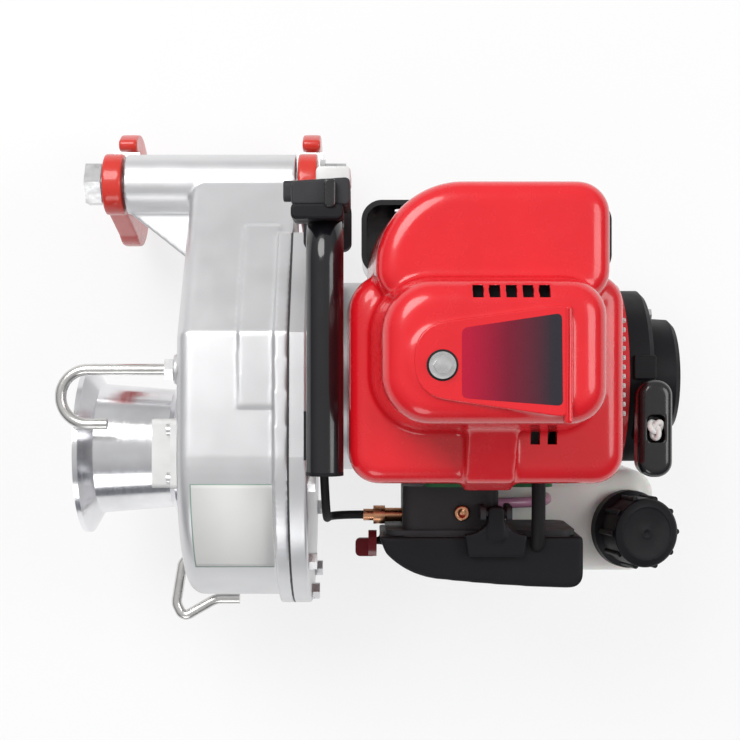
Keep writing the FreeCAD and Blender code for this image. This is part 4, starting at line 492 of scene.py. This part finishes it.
def dress_cover():
    """The cover, its panel, the blank label, the bar beside it, the side grille and the corner nub."""
    shell = moulded_copy("red_cover", nodes["top_cover"], 1.2, 18, REAR_SLOTS + FRONT_SLOTS)
    new_piece("red_cover", shell, LOOKS["red_plastic"], replaced=("top_cover",))
    panel_outline = round_corners(PANEL_CORNERS, PANEL_CURVES)
    panel = plate("cover_panel", panel_outline, PLATEAU_TOP - PANEL_DEPTH, PLATEAU_TOP, 0.9)
    new_piece("cover_panel", panel, LOOKS["red_plastic"])
    # Black sheets of painted shade under the slots
    for name, shadow_corners, shadow_low, shadow_high in SLOT_SHADOW_SHEETS:
        shadow_sheet = plate(name, round_corners(shadow_corners, 2), shadow_low, shadow_high, 0.3)
        new_piece(name, shadow_sheet, LOOKS["black_plastic"])
    # A black ring round the screw head: painted shade of the recess it sits in, drawn in the black rubber
    # look
    recess_shade_profile = ((6.4, 0), (7.6, 0.1), (7.4, 0.5), (6.6, 0.5))
    recess_shade_ring = lathe("screw_recess_painted_shade", recess_shade_profile, (*SCREW_PLACE, PLATEAU_TOP - 0.1))
    new_piece("screw_recess_painted_shade", recess_shade_ring, LOOKS["black_rubber"])
    corners = [photo_point(px, py, PLATEAU_TOP) for px, py in LABEL_CORNERS_PX]
    label = plate("cover_label", round_corners(corners, 3), PLATEAU_TOP - 0.6, PLATEAU_TOP + 0.15, 0.06)
    new_piece("cover_label", label, LABEL_LOOK)
    bar_x, bar_end_x = photo_point(565, 310, PLATEAU_TOP)[0], photo_point(573, 310, PLATEAU_TOP)[0]
    front, rear = photo_point(565, 424, PLATEAU_TOP)[1], photo_point(565, 306, PLATEAU_TOP)[1]
    bar_corners = ((bar_x, rear), (bar_end_x, rear), (bar_end_x, front), (bar_x, front))
    bar = plate("cover_bar", round_corners(bar_corners, 1.5), PLATEAU_TOP - 6, PLATEAU_TOP + 0.6, 1.5)
    new_piece("cover_bar", bar, LOOKS["red_plastic"])
    nub_profile = ((2.0, 0), (4.2, 1.5), (5.0, 5), (4.6, 12), (3.4, 20), (2.6, 26))
    nub = lathe("cover_nub", nub_profile, (208, -7, 176), axis=(0.05, 0.12, 1))
    new_piece("cover_nub", nub, LOOKS["red_plastic"])
    for index in range(GRILLE_RIBS):
        near = GRILLE_FRONT + GRILLE_PITCH * index
        far = near + GRILLE_RIB_WIDTH
        outline = ((GRILLE_ROOT, near), (GRILLE_FACE, near), (GRILLE_FACE, far), (GRILLE_ROOT, far))
        rib = plate(f"grille_rib_{index}", round_corners(outline, 0.6), GRILLE_LOW, GRILLE_HIGH, 0.8)
        new_piece(f"grille_rib_{index}", rib, LOOKS["pale_plastic"])


# Blank sticker on the gear case
CASE_RADIUS = 90.0
AXIS_HEIGHT = 115.0
STICKER_THICK = 0.15


def wrapped_panel(name, left, right, front, rear, lift, material):
    """A thin blank sticker wrapped round the top of the gear case, given in millimetres."""
    spans = 24
    bm = bmesh.new()
    rows = []
    for step in range(spans + 1):
        y = front + (rear - front) * step / spans
        z = AXIS_HEIGHT + math.sqrt(CASE_RADIUS**2 - min(y, 0.0) ** 2)
        rows.append([bm.verts.new(mm(x, y, z + lift)) for x in (left, right)])
    for lower, upper in zip(rows, rows[1:]):
        bm.faces.new((lower[0], lower[1], upper[1], upper[0]))
    mesh = mesh_from(bm, name)
    piece = new_piece(name, mesh, material)
    piece.modifiers.new("sheet", "SOLIDIFY").thickness = STICKER_THICK * MM


def dress_case():
    """The blank sticker on the gear case, with a thin green edge round it."""
    wrapped_panel("blank_sticker_edge", -23.5, 25.5, -66, -15.5, 0.12, EDGE_LOOK)
    wrapped_panel("blank_sticker", -22.8, 24.8, -65.4, -16.1, 0.28, PANEL_LOOK)


# Starter rope, its knot and the recoil's rope exit
ROPE_X, ROPE_Y = 242.0, 15.0
GRIP_LOW = 171.0
KNOT_STEPS = 30


def strand_tube(name, turns, low, high):
    """A three-strand rope that stands upright."""
    bm = bmesh.new()
    rings = []
    steps, around = 40, 24
    for step in range(steps + 1):
        share = step / steps
        z = low + (high - low) * share
        ring = []
        for k in range(around):
            angle = 2 * math.pi * k / around
            radius = 1.72 + 0.26 * math.cos(3 * (angle - 2 * math.pi * turns * share))
            x = ROPE_X + radius * math.cos(angle)
            y = ROPE_Y + radius * math.sin(angle)
            ring.append(bm.verts.new(mm(x, y, z)))
        rings.append(ring)
    skin(bm, rings)
    return mesh_from(bm, name)


def dress_starter():
    """The rope between the housing and the grip, and the knot in the grip's hollow."""
    rope = new_piece(
        "pull_rope",
        strand_tube("pull_rope", 5, AXIS_HEIGHT, GRIP_LOW + 8),
        LOOKS["white_cord"],
        body=None,
        replaced=("starter_rope",),
    )
    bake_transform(rope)
    knot_points = []
    for step in range(KNOT_STEPS):
        t = 2 * math.pi * step / KNOT_STEPS
        reach_x = math.sin(t) + 2 * math.sin(2 * t)
        reach_y = math.cos(t) - 2 * math.cos(2 * t)
        rise = -math.sin(3 * t)
        knot_points.append((ROPE_X + 1.3 * reach_x, ROPE_Y + 1.9 * reach_y, GRIP_LOW + 15.6 + 1.6 * rise))
    knot = tube_curve("rope_knot", knot_points, 1.5, closed=True)
    new_piece("rope_knot", knot, LOOKS["white_cord"], body="starter_pull")
    exit_corners = ((232.5, 43), (246, 43), (246, 57.5), (232.5, 57.5))
    exit_block = plate("rope_exit", round_corners(exit_corners, 2), 160, 170.4, 1.2)
    new_piece("rope_exit", exit_block, LOOKS["black_plastic"])


# Chamfered rim, dish and dimple on the filler cap
CAP_TILT = math.radians(16)
CAP_AXIS = (math.sin(CAP_TILT), 0.0, math.cos(CAP_TILT))
CAP_TOP_REACH = 15.4
CAP_PROFILE = (
    (20.6, -1.8),
    (20.6, -0.7),
    (20.0, 0.1),
    (16.4, 1.3),
    (15.6, 1.2),
    (15.0, 0.4),
    (4.2, 0.4),
    (3.4, 0.8),
    (2.2, 0.8),
    (1.5, 0.3),
    (0.3, 0.2),
)


def dress_cap():
    """The cap's moulded top, turned about the cap's own tilted axis."""
    low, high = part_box("fuel_cap")
    place = (low + high) / 2 / MM + Vector(CAP_AXIS) * CAP_TOP_REACH
    rim = lathe("cap_rim", CAP_PROFILE, place, axis=CAP_AXIS)
    new_piece("cap_rim", rim, LOOKS["black_plastic"], body="filler_cap")


# Throttle housing, cable and intake details
CABLE_ROUTE = (
    (51, 116.3, 194),
    (51, 95.3, 194),
    (51, 10, 199),
    (53, -38, 186),
    (53, -38, 150),
    (74, -38, 150),
)
HOSE_ROUTE = ((188, -31, 112), (188, -31, 150), (153, -31, 150))
BREATHER_ROUTE = ((174, -14, 194), (174, -52, 194), (174, -52, 186))
THROTTLE_BLOCKS = (
    ("throttle_band", ((36.5, 127.5), (64, 127.5), (64, 136), (36.5, 136)), 236, 262.5, 1.6,
     LOOKS["black_plastic"], "black_plastic"),
    ("throttle_body", ((36.5, 135), (67.5, 135), (67.5, 150), (36.5, 148)), 220, 259, 1.6,
     LOOKS["dark_plastic"], "dark_plastic"),
    ("throttle_plug", ((49.5, 146), (67.8, 146), (67.8, 156), (49.5, 156)), 226, 257, 1.5,
     LOOKS["pale_plastic"], "pale_plastic"),
    ("throttle_key", ((54, 133.5), (60.2, 133.5), (60.2, 148.5), (54, 148.5)), 250, 264.5, 1.2,
     GLOSS_BLACK, "black_plastic"),
)


def dress_throttle():
    """The throttle's housing beside its clamp, and its cable."""
    for name, corners, low, high, edge, look, slot_name in THROTTLE_BLOCKS:
        block = plate(name, round_corners(corners, 2 * edge), low, high, edge)
        new_piece(name, block, look)
    cable = tube_curve("control_cable", CABLE_ROUTE, 2.5)
    new_piece("control_cable", cable, LOOKS["black_rubber"], replaced=("throttle_cable",))


def dress_intake():
    """The hoses and the brass screw on the carburettor."""
    hose = tube_curve("pink_fuel_hose", HOSE_ROUTE, 3.2)
    new_piece("pink_fuel_hose", hose, LOOKS["pink_hose"], replaced=("fuel_hose",))
    breather = tube_curve("breather_hose", BREATHER_ROUTE, 4.0)
    new_piece("breather_hose", breather, LOOKS["black_rubber"], replaced=("breather_tube",))
    screw_x, screw_y = photo_point(462, 513, 178)
    screw_profile = ((4.4, -2), (4.6, 1.4), (4.0, 2.2), (2.6, 2.2), (2.3, 1.2), (0.4, 1.0))
    screw = lathe("mixture_screw", screw_profile, (screw_x, screw_y, 178))
    new_piece("mixture_screw", screw, LOOKS["brass"])


dress_cover()
dress_case()
dress_starter()
dress_cap()
dress_throttle()
dress_intake()


# Stage, light and camera
FLOOR_GLOW = 0.75
FLOOR_REACH = 4.0
SKY_STRENGTH = 0.62
BRIGHT_SKY = (-0.1, 0.5, 0.86)
LAMPS = (
    ("key", (-0.5, 0.9, 1.5), (0.05, 0.05, 0.1), 1.0, 17),
    ("fill", (1.1, 0.2, 1.2), (0.1, 0.0, 0.1), 0.8, 6),
    ("front", (-0.2, -1.2, 0.9), (0.05, 0.0, 0.1), 0.6, 3),
)


def floor_look():
    """A pale floor that stays white to the camera and keeps the object's shadow."""
    n = Nodes("pale_floor")
    n.set(Base_Color=(0.86, 0.86, 0.86, 1.0), Roughness=0.9)
    rays = n.new("ShaderNodeLightPath")
    glow = n.new("ShaderNodeEmission")
    mix = n.new("ShaderNodeMixShader")
    either = n.new("ShaderNodeMath", operation="MAXIMUM")
    n.link(rays.outputs["Is Camera Ray"], either.inputs[0])
    n.link(rays.outputs["Is Glossy Ray"], either.inputs[1])
    amount = n.new("ShaderNodeMath", operation="MULTIPLY")
    n.link(either.outputs["Value"], amount.inputs[0])
    amount.inputs[1].default_value = FLOOR_GLOW
    output = n.tree.nodes["Material Output"]
    n.link(amount.outputs["Value"], mix.inputs["Fac"])
    n.link(n.shader.outputs["BSDF"], mix.inputs[1])
    n.link(glow.outputs["Emission"], mix.inputs[2])
    n.link(mix.outputs["Shader"], output.inputs["Surface"])
    return n.material


def make_floor():
    """The floor that the winch stands on."""
    bm = bmesh.new()
    bmesh.ops.create_grid(bm, x_segments=1, y_segments=1, size=FLOOR_REACH)
    floor = bpy.data.objects.new("floor", mesh_from(bm, "floor"))
    bpy.context.collection.objects.link(floor)
    floor.data.materials.append(floor_look())


def area_light(name, place, target, size, watts):
    """A round lamp that faces a target."""
    lamp = bpy.data.lights.new(name, "AREA")
    lamp.shape = "DISK"
    lamp.size = size
    lamp.energy = watts
    holder = bpy.data.objects.new(name, lamp)
    bpy.context.collection.objects.link(holder)
    holder.location = place
    way = Vector(target) - Vector(place)
    holder.rotation_euler = way.to_track_quat("-Z", "Y").to_euler()


def make_world():
    """A soft sky that is brightest above and behind the object."""
    world = bpy.data.worlds.new("studio")
    world.use_nodes = True
    bpy.context.scene.world = world
    tree = world.node_tree
    sky = tree.nodes["Background"]
    sky.inputs["Strength"].default_value = SKY_STRENGTH
    direction = tree.nodes.new("ShaderNodeTexCoord").outputs["Generated"]
    slant = tree.nodes.new("ShaderNodeVectorMath")
    slant.operation = "DOT_PRODUCT"
    tree.links.new(direction, slant.inputs[0])
    slant.inputs[1].default_value = BRIGHT_SKY
    fade = tree.nodes.new("ShaderNodeValToRGB")
    stops = fade.color_ramp.elements
    stops[0].position = 0.0
    stops[0].color = (0.26, 0.27, 0.30, 1.0)
    stops[1].position = 0.7
    stops[1].color = (1.0, 1.0, 1.0, 1.0)
    tree.links.new(slant.outputs["Value"], fade.inputs["Fac"])
    tree.links.new(fade.outputs["Color"], sky.inputs["Color"])


def make_camera():
    """The camera of the photograph, straight above."""
    lens = bpy.data.cameras.new("photo_camera")
    lens.sensor_width = SENSOR_MM
    lens.lens = FOCAL_PIXELS / PHOTO_SIZE * SENSOR_MM
    camera = bpy.data.objects.new("photo_camera", lens)
    bpy.context.collection.objects.link(camera)
    camera.location = CAMERA_PLACE
    bpy.context.scene.camera = camera


make_floor()
make_world()
for lamp_values in LAMPS:
    area_light(*lamp_values)
make_camera()
bpy.context.scene.view_settings.view_transform = "Standard"
